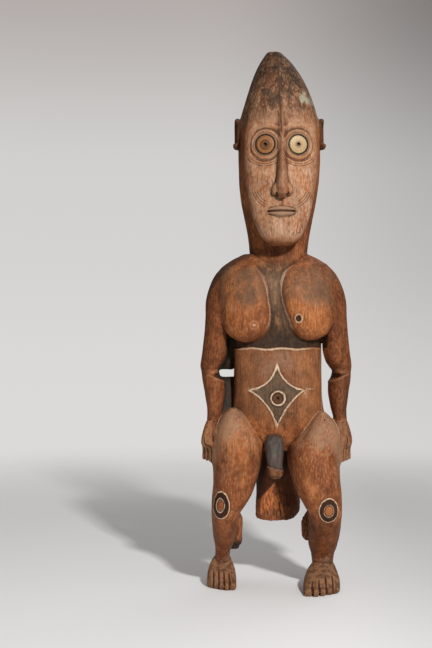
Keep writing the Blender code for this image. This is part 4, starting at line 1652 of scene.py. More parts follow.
@dataclass
class EyeInlay:
    """One eye: the ground top of a cone shell, bedded in dark paste."""

    side: Side
    radius: float = 0.0195
    thickness: float = 0.0048
    dome: float = 0.0014
    hole: float = 0.0042
    paste_thickness: float = 0.0042
    spiral_turns: float = 2.6
    thread: float = 0.35 * MM

    def height(self, radius: float) -> float:
        """Height of the shell's domed top."""
        share = (radius - self.hole) / (self.radius - self.hole)
        return self.thickness + self.dome * (1 - share * share)

    def spiral_tree(self) -> bpy.types.GeometryNodeTree:
        """The node tree that lays the shell's spiral as a low thread on its dome.

        Returns:
            The tree, whose sizes are its inputs.
        """
        tree = bpy.data.node_groups.new("shell_spiral", "GeometryNodeTree")
        face = tree.interface
        face.new_socket("Geometry", in_out="OUTPUT", socket_type="NodeSocketGeometry")
        for name, kind, value in (
            ("Turns", "Float", self.spiral_turns),
            ("Start Radius", "Float", self.hole + 1.2 * MM),
            ("End Radius", "Float", self.radius - 1.6 * MM),
            ("Rise", "Float", self.thickness),
            ("Dome", "Float", self.dome),
            ("Thread", "Float", self.thread),
            ("Seed", "Int", 3),
            ("Finish", "Material", None),
        ):
            socket = face.new_socket(name, in_out="INPUT", socket_type=f"NodeSocket{kind}")
            if value is not None:
                socket.default_value = value
        net = Net(tree)
        given = {socket.name: Field(net, socket) for socket in net.node("NodeGroupInput").outputs}
        ends = {name: given[name] for name in ("Start Radius", "End Radius")}
        coil = {"Resolution": 48, "Height": 0.0, "Rotations": given["Turns"], **ends}
        spiral = net.node("GeometryNodeCurveSpiral", coil)
        place = net.node("GeometryNodeInputPosition").outputs[0]
        length = net.node("ShaderNodeVectorMath", {0: place}, operation="LENGTH").outputs["Value"]
        share = Field(net, length) / given["End Radius"]
        lift = given["Rise"] + given["Dome"] - share * share * given["Dome"]
        low = {2: -0.1 * MM, 3: 0.0, "Seed": given["Seed"]}
        shake = net.node("FunctionNodeRandomValue", low, data_type="FLOAT").outputs[1]
        offset = net.node("ShaderNodeCombineXYZ", {"Z": lift + Field(net, shake)}).outputs[0]
        raised = {"Geometry": spiral.outputs[0], "Offset": offset}
        path = net.node("GeometryNodeSetPosition", raised).outputs[0]
        round_ = {"Resolution": 8, "Radius": given["Thread"]}
        ring = net.node("GeometryNodeCurvePrimitiveCircle", round_).outputs[0]
        sweep = {"Fill Caps": True, "Curve": path, "Profile Curve": ring}
        tube = net.node("GeometryNodeCurveToMesh", sweep).outputs[0]
        real = net.node("GeometryNodeRealizeInstances", {0: tube}).outputs[0]
        dress = {"Geometry": real, "Material": given["Finish"]}
        net.node("NodeGroupOutput", {0: net.node("GeometryNodeSetMaterial", dress).outputs[0]})
        return tree

    def shell(self, finish: Material) -> Body:
        """The shell disc with its spiral thread.

        Args:
            finish: Its material.

        Returns:
            The object, at the origin.
        """
        tree = self.spiral_tree()
        holder = put("spiral", bpy.data.meshes.new("spiral"))
        modifier = holder.modifiers.new("spiral", "NODES")
        modifier.node_group = tree
        sockets = {item.name: item.identifier for item in tree.interface.items_tree}
        modifier[sockets["Finish"]] = finish
        modifier[sockets["Thread"]] = self.thread
        thread = evaluated(holder)
        profile = [(self.hole, SEAT_GAP), (self.radius - 0.3 * MM, SEAT_GAP)]
        profile += [(self.radius, 0.8 * MM), (self.radius, self.thickness - 1.1 * MM)]
        for share in np.linspace(1.0, 0.0, 24)[1:]:
            across = self.hole + (self.radius - self.hole) * share
            ripple = 0.07 * MM * math.sin(across / MM * 4.2)
            profile.append((across, self.height(across) + ripple * math.sin(math.pi * share)))
        profile.append((self.hole - 0.2 * MM, self.thickness + self.dome * 0.6))
        disc = turned("shell", profile, 96)
        coil = [tuple(face.vertices) for face in thread.polygons]
        bodies = [(disc.points, disc.faces), (vectors(thread.vertices, "co"), coil)]
        return self.placed(f"{self.side.label}_shell_disc", *joined(bodies), finish)

    def paste(self, finish: Material) -> Body:
        """The paste round the shell, pressed in by finger.

        Args:
            finish: Its material.

        Returns:
            The object, at the origin.
        """
        outer, inner = SOCKET_RADIUS - SEAT_GAP, self.radius + SEAT_GAP
        profile = [(inner, SEAT_GAP), (outer, SEAT_GAP)]
        for share in np.linspace(0, 1, 9):
            across = outer + (inner - outer) * share
            swell = 0.7 * MM * math.sin(math.pi * share) + 0.5 * MM * (1 - share) ** 3
            profile.append((across, self.paste_thickness - 0.4 * MM + swell))
        ring = turned("paste", profile, 120)
        points = ring.points.copy()
        noise = Noise(21 + self.side.value)
        lumps = noise(points, (2.4 * MM, 2.4 * MM, 2.4 * MM)) * 0.35 * MM
        points[:, 2] += np.where(points[:, 2] > 2 * MM, lumps, 0)
        return self.placed(f"{self.side.label}_paste_ring", points, ring.faces, finish)

    def placed(
        self,
        name: str,
        points: Array,
        faces: Sequence[Sequence[int]],
        finish: Material,
    ) -> Body:
        """An object of these faces in the eye's place, with its own flat map of the disc.

        Args:
            name: The object's name.
            points: Rows of xyz in the eye's own space.
            faces: The faces' corners.
            finish: Its material.

        Returns:
            The object, at the origin.
        """
        mesh = new_mesh(name, points, faces)
        for axis, layer in zip("uv", points.T[:2]):
            CarvedFigure.store(mesh, f"disc_{axis}", layer)
        mesh.transform(eye_place(self.side))
        mesh.shade_smooth()
        mesh.materials.append(finish)
        return put(name, mesh)


# Finishes


class Net:
    """A node tree, with short calls for the nodes that the pieces and finishes use."""

    def __init__(self, tree: bpy.types.NodeTree) -> None:
        """Keeps the tree."""
        self.tree = tree

    @classmethod
    def material(cls, name: str) -> tuple[Material, "Net"]:
        """A new material and its net.

        Args:
            name: The material's name.

        Returns:
            Both.
        """
        made = bpy.data.materials.new(name)
        made.use_nodes = True
        return made, cls(made.node_tree)

    def shade(self, **values: object) -> None:
        """Feeds a material's shader; an input's spaces are written as underscores."""
        for name, value in values.items():
            self.feed(self.tree.nodes["Principled BSDF"].inputs[name.replace("_", " ")], value)

    def feed(self, socket: Socket, value: object) -> None:
        """Links or sets one input.

        Args:
            socket: The input.
            value: A field, another node's output, or a plain number, colour or vector.
        """
        if isinstance(value, Field):
            value = value.socket
        if isinstance(value, Socket):
            self.tree.links.new(value, socket)
        else:
            socket.default_value = value

    def node(
        self, kind: str, inputs: dict[int | str, object] | None = None, **settings: object
    ) -> bpy.types.Node:
        """A new node.

        Args:
            kind: Its type.
            inputs: What its inputs get, by number or name.
            settings: Its own settings.

        Returns:
            The node.
        """
        made = self.tree.nodes.new(kind)
        for name, value in settings.items():
            setattr(made, name, value)
        for key, value in (inputs or {}).items():
            self.feed(made.inputs[key], value)
        return made

    def math(self, operation: str, *values: "Value") -> Field:
        """One Math node."""
        made = self.node("ShaderNodeMath", dict(enumerate(values)), operation=operation)
        return Field(self, made.outputs[0])

    def step(self, value: Field, low: float, high: float) -> Field:
        """A smooth step from 0 at low to 1 at high.

        Args:
            value: What is stepped.
            low: Where the step starts.
            high: Where it ends.

        Returns:
            The step.
        """
        limits = {"Value": value, "From Min": low, "From Max": high}
        # A smooth step stays between 0 and 1 by itself, so it needs no clamp.
        settings = {"interpolation_type": "SMOOTHSTEP", "clamp": False}
        made = self.node("ShaderNodeMapRange", limits, **settings)
        return Field(self, made.outputs["Result"])

    def place(self) -> Socket:
        """The surface's place in the object."""
        return self.node("ShaderNodeTexCoord").outputs["Object"]

    def split(self, vector: Socket) -> tuple[Field, Field, Field]:
        """A vector's three numbers."""
        made = self.node("ShaderNodeSeparateXYZ", {0: vector})
        return tuple(Field(self, socket) for socket in made.outputs)

    def drawn(self, place: Socket, along: float) -> Socket:
        """A place whose patterns are drawn out along z, where along is under 1."""
        given = {0: place, 1: (1, 1, along)}
        return self.node("ShaderNodeVectorMath", given, operation="MULTIPLY").outputs[0]

    def noise(
        self,
        place: Socket,
        scale: float,
        detail: float = 2.0,
        along: float = 1.0,
        warp: float = 0.0,
    ) -> Field:
        """Noise from 0 to 1.

        Args:
            place: Where it is read.
            scale: How fine it is.
            detail: How many finer layers it has.
            along: Under 1 it is drawn out along z.
            warp: How far it is stirred.

        Returns:
            The noise.
        """
        place = place if along == 1.0 else self.drawn(place, along)
        given = {"Vector": place, "Scale": scale, "Detail": detail, "Distortion": warp}
        return Field(self, self.node("ShaderNodeTexNoise", given).outputs["Fac"])

    def stored(self, name: str) -> Field:
        """A value kept on the mesh's points."""
        return Field(self, self.node("ShaderNodeAttribute", attribute_name=name).outputs["Fac"])

    def mix(
        self, factor: "Value", under: object, over: object, beyond: bool = False
    ) -> Socket:
        """One colour over another.

        Args:
            factor: How much of the upper one shows.
            under: The lower colour.
            over: The upper colour.
            beyond: Whether the factor may be over 1.

        Returns:
            The mixed colour.
        """
        colours = [(*value, 1.0) if isinstance(value, tuple) else value for value in (under, over)]
        layers = {0: factor, 6: colours[0], 7: colours[1]}
        made = self.node("ShaderNodeMix", layers, data_type="RGBA", clamp_factor=not beyond)
        return made.outputs[2]

    def brightened(self, colour: object, amount: "Value") -> Socket:
        """A colour times a number."""
        return self.mix(amount, (0.0, 0.0, 0.0), colour, beyond=True)

    def bump(self, height: Field, strength: float, distance: float) -> Socket:
        """The normal of a surface lifted by a height."""
        given = {"Height": height, "Strength": strength, "Distance": distance}
        return self.node("ShaderNodeBump", given).outputs[0]

    def use(self, effect: "Effect", **given: object) -> dict[str, Field]:
        """Places a shared effect.

        Args:
            effect: The effect.
            given: Its inputs, by name.

        Returns:
            Its outputs by name.
        """
        made = self.node("ShaderNodeGroup", node_tree=effect.tree())
        for name, value in given.items():
            self.feed(made.inputs[name], value)
        return {socket.name: Field(self, socket) for socket in made.outputs}


@dataclass(frozen=True)
class Effect:
    """A node group that several finishes share, built when it is first used."""

    name: str
    inputs: tuple[tuple[str, float | None], ...]
    outputs: tuple[str, ...]
    recipe: Callable[[Net, dict[str, object]], dict[str, Field]]

    def tree(self) -> bpy.types.NodeTree:
        """The group, made once.

        Returns:
            The group.
        """
        found = bpy.data.node_groups.get(self.name)
        if found:
            return found
        tree = bpy.data.node_groups.new(self.name, "ShaderNodeTree")
        for name, value in self.inputs:
            kind = "NodeSocketVector" if value is None else "NodeSocketFloat"
            socket = tree.interface.new_socket(name, in_out="INPUT", socket_type=kind)
            if value is not None:
                socket.default_value = value
        for name in self.outputs:
            tree.interface.new_socket(name, in_out="OUTPUT", socket_type="NodeSocketFloat")
        net = Net(tree)
        given = net.node("NodeGroupInput")
        sockets: dict[str, object] = {}
        for (name, value), socket in zip(self.inputs, given.outputs):
            sockets[name] = socket if value is None else Field(net, socket)
        net.node("NodeGroupOutput", self.recipe(net, sockets))
        return tree


def grain_recipe(net: Net, given: dict[str, object]) -> dict[str, Field]:
    """Streaks, fibres and drying checks that run along z.

    Args:
        net: The group's net.
        given: Its inputs.

    Returns:
        Its outputs.
    """
    stretch = {0: given["Vector"], 1: (6, 6, 3)}
    stretched = net.node("ShaderNodeVectorMath", stretch, operation="MULTIPLY").outputs[0]
    wander = net.noise(stretched, 1.0, 2)
    offset = net.node("ShaderNodeCombineXYZ", {0: wander * 0.03, 1: wander * 0.02}).outputs[0]
    moved = net.node("ShaderNodeVectorMath", {0: given["Vector"], 1: offset}, operation="ADD")
    place = moved.outputs[0]
    streak, fibre = net.noise(place, 75, 3, 0.09, 0.2), net.noise(place, 420, 3, 0.05)
    lines = abs(net.noise(place, 95, 1, 0.035, 0.4) - 0.5)
    check = (1 - smooth(lines, 0.003, 0.014)) * smooth(net.noise(place, 21, 1, 0.4), 0.56, 0.68)
    pore = smooth(net.noise(place, 900, 1, 0.22), 0.66, 0.74)
    thin = abs(net.noise(place, 210, 1, 0.06, 0.3) - 0.5)
    hair = (1 - smooth(thin, 0.004, 0.022)) * smooth(net.noise(place, 48, 2, 0.5), 0.46, 0.6)
    return {
        "Streak": streak,
        "Fibre": fibre,
        "Check": check * given["Checks"],
        "Hair": hair * given["Checks"],
        "Pore": pore,
        "Height": streak * 0.35 + fibre * 0.5 - check * 1.6 - pore * 0.25 - hair * 0.5,
    }


def wear_recipe(net: Net, given: dict[str, object]) -> dict[str, Field]:
    """Grime that gathers in hollows, and rubbed edges, both broken up by noise.

    Args:
        net: The group's net.
        given: Its inputs.

    Returns:
        Its outputs.
    """
    patchy = net.noise(given["Vector"], 55, 3)
    fine, broad = given["Fine"], given["Broad"]
    grime = smooth(fine * 1000 + patchy * 0.12, 0.07, 0.3)
    deep = smooth(broad * 1000 + patchy * 0.8, 0.6, 2.4)
    rubbed = smooth(fine * -1000 + patchy * 0.14, 0.11, 0.3)
    proud = smooth(broad * -1000 + patchy, 0.7, 2.2)
    return {
        "Grime": most(grime, deep) * given["Amount"],
        "Worn": most(rubbed, proud * 0.5) * given["Amount"],
    }


def dust_recipe(net: Net, given: dict[str, object]) -> dict[str, Field]:
    """Pale bloom in soft patches, rubbed through in specks.

    Args:
        net: The group's net.
        given: Its inputs.

    Returns:
        Its outputs.
    """
    cloud = net.noise(given["Vector"], 26, 3)
    speck = net.noise(given["Vector"], 260, 2)
    mask = smooth(given["Cover"] + (cloud - 0.5) * 1.1 + (speck - 0.5) * 0.7, 0.35, 0.85)
    return {"Mask": mask, "Speck": speck}


GRAIN = Effect(
    "timber grain",
    (("Vector", None), ("Checks", 1.0)),
    ("Streak", "Fibre", "Check", "Hair", "Pore", "Height"),
    grain_recipe,
)
WEAR = Effect(
    "hand wear",
    (("Vector", None), ("Fine", 0.0), ("Broad", 0.0), ("Amount", 1.0)),
    ("Grime", "Worn"),
    wear_recipe,
)
DUST = Effect("dust", (("Vector", None), ("Cover", 0.5)), ("Mask", "Speck"), dust_recipe)


@dataclass
class Coat:
    """Wood with its colours laid one over another, and what their masks are worked out from."""

    net: Net
    place: Socket
    axes: tuple[Field, Field, Field]
    grain: dict[str, Field]
    colour: object = None
    line: Field | None = None

    def over(self, mask: Value, colour: object) -> None:
        """Lays a colour over what is there."""
        self.colour = self.net.mix(mask, self.colour, colour)

    def draw(self, mask: Value) -> None:
        """Adds to the pale lines, which are laid on later."""
        self.line = mask if self.line is None else most(self.line, mask)

    def noise(self, scale: float, detail: float, along: float = 1.0, warp: float = 0.0) -> Field:
        """Noise from 0 to 1 on the wood."""
        return self.net.noise(self.place, scale, detail, along, warp)

    def patches(self, low: float, high: float, *noise: float) -> Field:
        """Noise cut to patches, with soft edges between low and high."""
        return smooth(self.noise(*noise), low, high)


@dataclass(frozen=True)
class WoodFinish:
    """Red-brown wood rubbed with earth colours, painted, worn and dusty, with some painted light
    and shade.
    """

    red: Colour = (0.262, 0.077, 0.026)
    orange: Colour = (0.425, 0.14, 0.042)
    umber: Colour = (0.066, 0.023, 0.0105)
    khaki: Colour = (0.43, 0.25, 0.14)
    mauve: Colour = (0.3, 0.165, 0.105)
    soot: Colour = (0.022, 0.019, 0.014)
    lichen: Colour = (0.38, 0.37, 0.26)
    chalk: Colour = (0.62, 0.375, 0.235)
    cream: Colour = (0.8, 0.6, 0.41)
    ash: Colour = (0.235, 0.13, 0.066)
    slate: Colour = (0.1, 0.08, 0.056)
    bitumen: Colour = (0.12, 0.07, 0.038)
    shoulder_soot: Colour = (0.04, 0.018, 0.01)
    handled: Colour = (0.3, 0.155, 0.072)
    clay: Colour = (0.235, 0.118, 0.06)
    gap_grime: Colour = (0.026, 0.012, 0.007)
    dull: Colour = (0.19, 0.098, 0.052)
    crown_grime: Colour = (0.028, 0.0145, 0.007)
    rubbed_tar: Colour = (0.29, 0.135, 0.06)
    fresh_tar: Colour = (0.012, 0.01, 0.008)
    member_dark: Colour = (0.046, 0.044, 0.041)
    member_pale: Colour = (0.15, 0.138, 0.124)
    ridge_grime: Colour = (0.034, 0.016, 0.009)
    shaft_soot: Colour = (0.02, 0.0065, 0.003)
    throat_grime: Colour = (0.04, 0.014, 0.007)
    ring_black: Colour = (0.018, 0.01, 0.0065)
    check_dark: Colour = (0.02, 0.012, 0.008)
    roughness: float = 0.6
    gloss: float = 0.16
    bump: tuple[float, float] = (0.75, 1.2 * MM)

    def material(self) -> Material:
        """The finish as a material, its coats laid on in order.

        Returns:
            The material.
        """
        made, net = Net.material("earth_rubbed_wood")
        place = net.place()
        grain = net.use(GRAIN, Vector=place, Checks=1.0)
        hollows = {"Fine": net.stored("hollow_fine"), "Broad": net.stored("hollow_broad")}
        wear = net.use(WEAR, Vector=place, Amount=1.0, **hollows)
        coat = Coat(net, place, net.split(place), grain)
        self.ground(coat)
        self.dusted(coat)
        self.head(coat)
        coat.over(wear["Worn"] * 0.42, net.mix(0.55, self.orange, self.khaki))
        self.paint(coat)
        line, z = coat.line, coat.axes[2]
        groin = band(net.stored("thigh"), 7 * MM, 2 * MM) * span(z, 0.335, 0.35, 0.392, 0.4)
        clean = most(line * 0.8, groin * 0.75)
        coat.over(wear["Grime"] * (0.75 - clean * 0.75), self.umber)
        self.sooted(coat)
        coat.over(grain["Check"] * 0.8, self.check_dark)
        coat.over(grain["Hair"] * 0.45, self.umber)
        coat.over(grain["Pore"] * 0.3, self.umber)
        rough = grain["Streak"] * -0.16 + (self.roughness + 0.08) + wear["Grime"] * 0.2
        height = grain["Height"] * 0.8 + coat.noise(260, 3, 0.6) * 0.8 + line * 0.4
        net.shade(
            Base_Color=coat.colour,
            Roughness=rough + line * 0.15,
            Specular_IOR_Level=self.gloss,
            Normal=net.bump(height, *self.bump),
        )
        return made

    def ground(self, coat: Coat) -> None:
        """The bare wood: red and orange earth over umber, mottled, darker on the limbs, with
        painted light on the stump's foot and painted shade on the belly and the right shoulder.

        Args:
            coat: The wood.
        """
        (x, y, z), mix = coat.axes, coat.net.mix
        arms = smooth(abs(x), 0.106, 0.12) * span(z, 0.372, 0.384, 0.66, 0.715)
        shins = smooth(z, 0.175, 0.145)
        stump = smooth(y, 0.0, 0.02) * smooth(z, 0.36, 0.3) * smooth(abs(x), 0.066, 0.06)
        limbs = most(arms, shins)
        cloud, mottle = coat.noise(9, 3, 0.6), coat.noise(55, 5, 0.6)
        speck = coat.noise(230, 4, 0.55)
        warm = smooth(cloud + (mottle - 0.5) * 0.3, 0.36, 0.64) * (1 - limbs * 0.75)
        coat.colour = mix(warm, self.red, self.orange)
        dark = smooth(mottle + (coat.grain["Streak"] - 0.5) * 0.6, 0.58, 0.3)
        coat.over(dark * 0.42, self.umber)
        coat.over(smooth(speck, 0.5, 0.34) * (0.36 + arms * 0.24), self.umber)
        pale = smooth(speck * 0.75 + mottle * 0.25, 0.5, 0.64) * (1 - limbs * 0.35)
        coat.over(pale * 0.32, self.khaki)
        stain = coat.patches(0.56, 0.74, 20, 4, 0.7, 0.4)
        coat.over(stain * 0.42, self.umber)
        coat.over(stump * smooth(mottle, 0.44, 0.56) * 0.35, self.umber)
        # The stump's broken foot: raw orange wood, which tone below also brightens as painted
        # light where the key falls between the legs.
        raw = stump * smooth(z, 0.25, 0.21) * smooth(y, 0.07, 0.05)
        coat.over(raw * 0.6, mix(smooth(speck, 0.4, 0.6), self.red, self.orange))
        coat.over(raw * smooth(mottle, 0.47, 0.58) * 0.62, self.umber)
        yoke = smooth(abs(x), 0.08, 0.125) * span(z, 0.665, 0.7, 0.74, 0.76)
        coat.over(yoke * (mottle * 0.5 + 0.1), self.umber)
        # Dirt and painted shade: a dark edge along the top of the right shoulder, on the side away
        # from the key.
        crest = smooth(away(x, z, (0.057, 0.517)), 0.2475, 0.255) * smooth(x, -0.05, -0.08)
        crest = crest * span(z, 0.63, 0.665, 0.75, 0.765) * smooth(y, 0.05, 0.02)
        coat.over(crest * (mottle * 0.4 + 0.5), self.shoulder_soot)
        shoulder = smooth(abs(x), 0.118, 0.145) * span(z, 0.6, 0.65, 0.74, 0.76)
        coat.over(shoulder * (stain * 0.3 + mottle * 0.4 + 0.05), self.umber)
        # Painted light: raw * 0.8 lightens the stump's broken foot.
        tone = 1.13 - arms * 0.22 - shins * 0.24 - smooth(z, 0.66, 0.72) * 0.12 + raw * 0.8
        tone = tone - blob(x, z, (-0.1, 0.285), (0.06, 0.07)) * 0.16
        belly = span(z, 0.352, 0.4, 0.5, 0.54) * smooth(abs(x), 0.105, 0.098)
        # Painted shade: the belly darker towards the figure's right, away from the key, and low
        # down.
        shade = smooth(x, 0.0, -0.07) * 0.1 + smooth(z, 0.43, 0.38) * 0.12
        tone = tone - belly * (0.08 + shade)
        fore = arms * smooth(z, 0.51, 0.47)
        tone = tone + smooth(x, 0.03, -0.05) * (fore * 0.12 + shins * 0.12 - (arms - fore) * 0.04)
        tone = tone - smooth(x, -0.03, 0.05) * (fore * 0.2 + shins * 0.18)
        fibre = smooth(coat.grain["Fibre"], 0.34, 0.68) * 0.34 + 0.8
        coat.colour = coat.net.brightened(coat.colour, tone * fibre)

    def dusted(self, coat: Coat) -> None:
        """Pale bloom on thighs, hands, feet, breasts and belly, and the grime between digits.

        Args:
            coat: The wood.
        """
        net, (x, y, z) = coat.net, coat.axes
        front = smooth(y, 0.02, -0.03)
        wander = (coat.noise(40, 3) - 0.5) * 0.03
        thigh = smooth(net.stored("thigh"), -0.2 * MM, 1.2 * MM)
        high = smooth(z + wander * 2.0, 0.24, 0.375)
        feet = smooth(z + wander, 0.078, 0.06)
        hands = smooth(net.stored("hand") + wander * 0.05, -0.3 * MM, 0.5 * MM)
        breast = smooth(net.stored("chest"), 0.5 * MM, -1.5 * MM)
        bosom = smooth(z + wander, 0.58, 0.65) * smooth(z, 0.735, 0.7) * front * breast
        belly = blob(x, z, (-0.02, 0.5), (0.11, 0.08)) * front
        trunk = smooth(abs(x), 0.108, 0.096) * span(z, 0.35, 0.4, 0.53, 0.56) * front
        outer = smooth(abs(x), 0.085, 0.13) * smooth(z, 0.2, 0.25)
        cover = thigh * (high * 0.6 + outer * 0.34 + 0.06) + feet * 0.66 + hands * 0.6
        cover = cover + bosom * 0.66 + belly * 0.62
        dust = net.use(DUST, Vector=net.drawn(coat.place, 0.5), Cover=cover)
        pale = net.mix(dust["Speck"], self.mauve, self.khaki)
        shade = feet * 0.3 + hands * 0.16 + bosom * 0.6 + belly * 0.24
        pale = net.brightened(pale, 1.02 - shade)
        pale = net.mix(most(feet, hands) * 0.45, pale, self.handled)
        coat.over(trunk * 0.34, self.clay)
        coat.over(dust["Mask"] * 0.74, pale)
        row = finger_gap(abs(x), y) + (coat.noise(160, 2) - 0.5) * (1.2 * MM)
        gaps = band(row, 4.2 * MM, 1.7 * MM) * smooth(z, 0.342, 0.33) * hands
        ridge = hands * smooth(z, 0.345, 0.325) * smooth(row, 2.4 * MM, 4.0 * MM)
        coat.over(ridge * 0.5, net.mix(0.5, self.khaki, self.orange))
        grimy = coat.patches(0.47, 0.58, 95, 4) * most(feet, hands * 0.5)
        toes = feet * smooth(z, 0.026, 0.01) * smooth(y, -0.02, -0.05)
        coat.over(most(grimy * 0.62, toes * 0.6), self.umber)
        for leg in (right_leg(), left_leg()):
            own = smooth(x * leg.side.value, 0.045, 0.055) * feet * smooth(z, 0.038, 0.026)
            gaps = most(gaps, leg.toe_gaps(x, y) * own)
        coat.over(gaps * 0.88, self.gap_grime)

    def head(self, coat: Coat) -> None:
        """The dark mottled crown and the face with the rest of its chalk.

        Args:
            coat: The wood.
        """
        net, (x, y, z), streaks = coat.net, coat.axes, coat.grain["Streak"]
        front, across = smooth(y, 0.02, -0.03), abs(x - FACE_X)
        mottle = coat.patches(0.4, 0.62, 105, 4, 0.6)
        brow = smooth(z - smooth(x, -0.004, -0.02) * 0.004, EYE_Z + 0.02, EYE_Z + 0.066)
        fleck = coat.patches(0.44, 0.62, 260, 3, 0.45)
        coat.over(brow * 0.66, net.mix(mottle, self.umber, self.dull))
        # The top of the crown is dark grime; the darker right side of the brow is painted shade.
        crown = most(smooth(z, 1.04, 1.15), smooth(x, 0.01, -0.045) * brow * 0.45)
        grit = coat.patches(0.42, 0.58, 130, 5, 0.35)
        coat.over(crown * (grit * 0.38 + 0.56), self.crown_grime)
        top = smooth(z, 1.09, 1.165)
        coat.over(brow * fleck * (0.54 - top * 0.36), net.mix(mottle, self.mauve, self.khaki))
        streak = smooth(streaks, 0.54, 0.64) * smooth(z, 1.0, 1.06)
        coat.over(streak * (fleck * 0.35 + 0.12) * (1 - top * 0.5), self.khaki)
        coat.over(smooth(streaks, 0.46, 0.38) * smooth(z, 1.02, 1.08) * 0.58, self.soot)
        lichen = blob(x, z, (0.062, 1.082), (0.03, 0.024)) * front
        coat.over(smooth(lichen * 0.8 + mottle * 0.5, 0.45, 0.95) * 0.8, self.lichen)
        coat.over(blob(x, z, (-0.013, 1.122), (0.02, 0.03)) * front * 0.25, self.red)
        face = smooth(y, -0.05, -0.075) * smooth(z, CHIN_Z, CHIN_Z + 0.03)
        face = face * smooth(z, EYE_Z + 0.085, EYE_Z + 0.03)
        rub, fine = coat.patches(0.38, 0.62, 48, 5, 0.6), coat.patches(0.38, 0.6, 240, 3, 0.5)
        low = smooth(z, MOUTH_Z, CHIN_Z + 0.012)
        chalk = (rub * 0.38 + fine * 0.5 + 0.09 + low * 0.2) * face
        eye = away(across, z, (0.037, EYE_Z))
        crescent = band(eye - 0.0315, 5 * MM, 2.5 * MM) * smooth(z, EYE_Z - 0.02, EYE_Z + 0.02)
        chalk = most(chalk, crescent * face * (mottle * 0.4 + 0.35))
        coat.over(face * 0.35, self.orange)
        coat.over(chalk, net.mix(mottle * 0.5, self.chalk, self.khaki))
        stain = coat.patches(0.44, 0.62, 30, 4, 0.6)
        bridge = smooth(across, 0.019, 0.011) * smooth(z, NOSE_BASE_Z - 0.012, NOSE_BASE_Z - 0.002)
        cheekbone = smooth(across, 0.05, 0.085) * (0.35 + 0.65 * stain)
        shade = most(bridge * (0.42 + 0.2 * stain), most(cheekbone * 0.5, stain * 0.26)) * face
        coat.over(shade, net.mix(0.3, self.umber, self.red))

    def paint(self, coat: Coat) -> None:
        """What is painted: the chest field, star, navel, nipples, knees, loins and face lines.

        Args:
            coat: The wood; its pale lines are left on it for what follows.
        """
        net, (x, y, z) = coat.net, coat.axes
        px = x + (coat.noise(120, 3) - 0.5) * (3.4 * MM)
        pz = z + (coat.noise(95, 3) - 0.5) * (3.4 * MM)
        front, ahead = smooth(y, -0.03, -0.04), smooth(y, -0.002, -0.014)
        streaky = coat.patches(0.4, 0.66, 190, 3, 0.12)
        mottle = coat.patches(0.42, 0.6, 130, 4)
        self.tarred(coat, chest_field(px, pz, net.stored("chest")) * ahead, streaky, mottle)
        star, navel = STAR.edge(px, pz), away(px, pz, NAVEL)
        fill = net.mix(mottle * 0.55 + smooth(z, 0.4, 0.48) * 0.25, self.slate, self.ash)
        inside = (1 - smooth(star, -1.6 * MM, -0.8 * MM)) * front
        coat.over(inside * 0.88, net.mix(streaky * 0.3 + 0.14, fill, self.soot))
        coat.over((1 - smooth(navel, 0.012, 0.013)) * front * 0.7, self.umber)
        coat.over(band(navel - 0.008, 1.8 * MM) * front * 0.4, self.orange)
        nipple = away(px, pz, NIPPLES[Side.LEFT], 1.15)
        coat.over((1 - smooth(nipple, 0.0055, 0.008)) * front * 0.85, self.soot)
        self.lines(coat, (px, pz), star, navel, nipple)
        self.knees(coat, (px, pz), streaky)
        chip = smooth(coat.noise(190, 3) + (coat.grain["Fibre"] - 0.5) * 0.4, 0.34, 0.52)
        coat.line = coat.line * (chip * 0.64 + 0.36)
        coat.over(coat.line * 0.85, self.cream)
        member = smooth(net.stored("member"), -0.3 * MM, 0.6 * MM)
        tip = smooth(z + x * 0.25, 0.2745, 0.2705)
        dark = net.mix(streaky * 0.45 + mottle * 0.12, self.member_dark, self.member_pale)
        coat.over(member * (1 - tip) * 0.92, dark)
        coat.over(member * tip * 0.62, net.mix(mottle * 0.8, self.umber, self.ash))
        ridge = band(px - ridge_x(z), 3.0 * MM, 1.7 * MM) * smooth(z, EYE_Z + 0.012, EYE_Z + 0.03)
        coat.over(ridge * smooth(y, 0.01, -0.01) * 0.9, self.ridge_grime)
        incised = band(cheek_arcs(px, pz), 1.1 * MM, 0.6 * MM) * smooth(y, -0.05, -0.06)
        coat.over(incised * 0.42, self.umber)
        lips = 1 - smooth(away(x, z, (FACE_X, MOUTH_Z), 0.4), 0.0105, 0.013)
        coat.over(lips * smooth(y, -0.09, -0.096) * 0.6, net.mix(0.45, self.slate, self.chalk))

    def tarred(self, coat: Coat, field_: Field, streaky: Field, mottle: Field) -> None:
        """The black field between and below the breasts, rubbed through in its open middle and
        darker under the breasts as painted shadow.

        Args:
            coat: The wood.
            field_: Mask of the field.
            streaky: Streaks down the wood.
            mottle: Fine patches.
        """
        net, z = coat.net, coat.axes[2]
        tar = net.mix(streaky * 0.36 + mottle * 0.16 + 0.06, self.soot, self.bitumen)
        open_ = smooth(net.stored("chest"), 2.5 * MM, 12.0 * MM) * smooth(z, 0.55, 0.6)
        blot = coat.patches(0.44, 0.56, 60, 5, 0.55)
        bare = open_ * (streaky * 0.56 + mottle * 0.24 + 0.24) * (blot * 0.7 + 0.3)
        tar = net.mix(bare, tar, net.mix(mottle, self.ash, self.rubbed_tar))
        tar = net.mix(span(z, 0.6, 0.66, 0.68, 0.71) * 0.25, tar, self.khaki)
        # Under the breasts: black paint, deepened as painted shadow.
        tar = net.mix(smooth(z, 0.6, 0.565) * (0.55 - mottle * 0.25), tar, self.fresh_tar)
        coat.over(field_ * 0.93, tar)

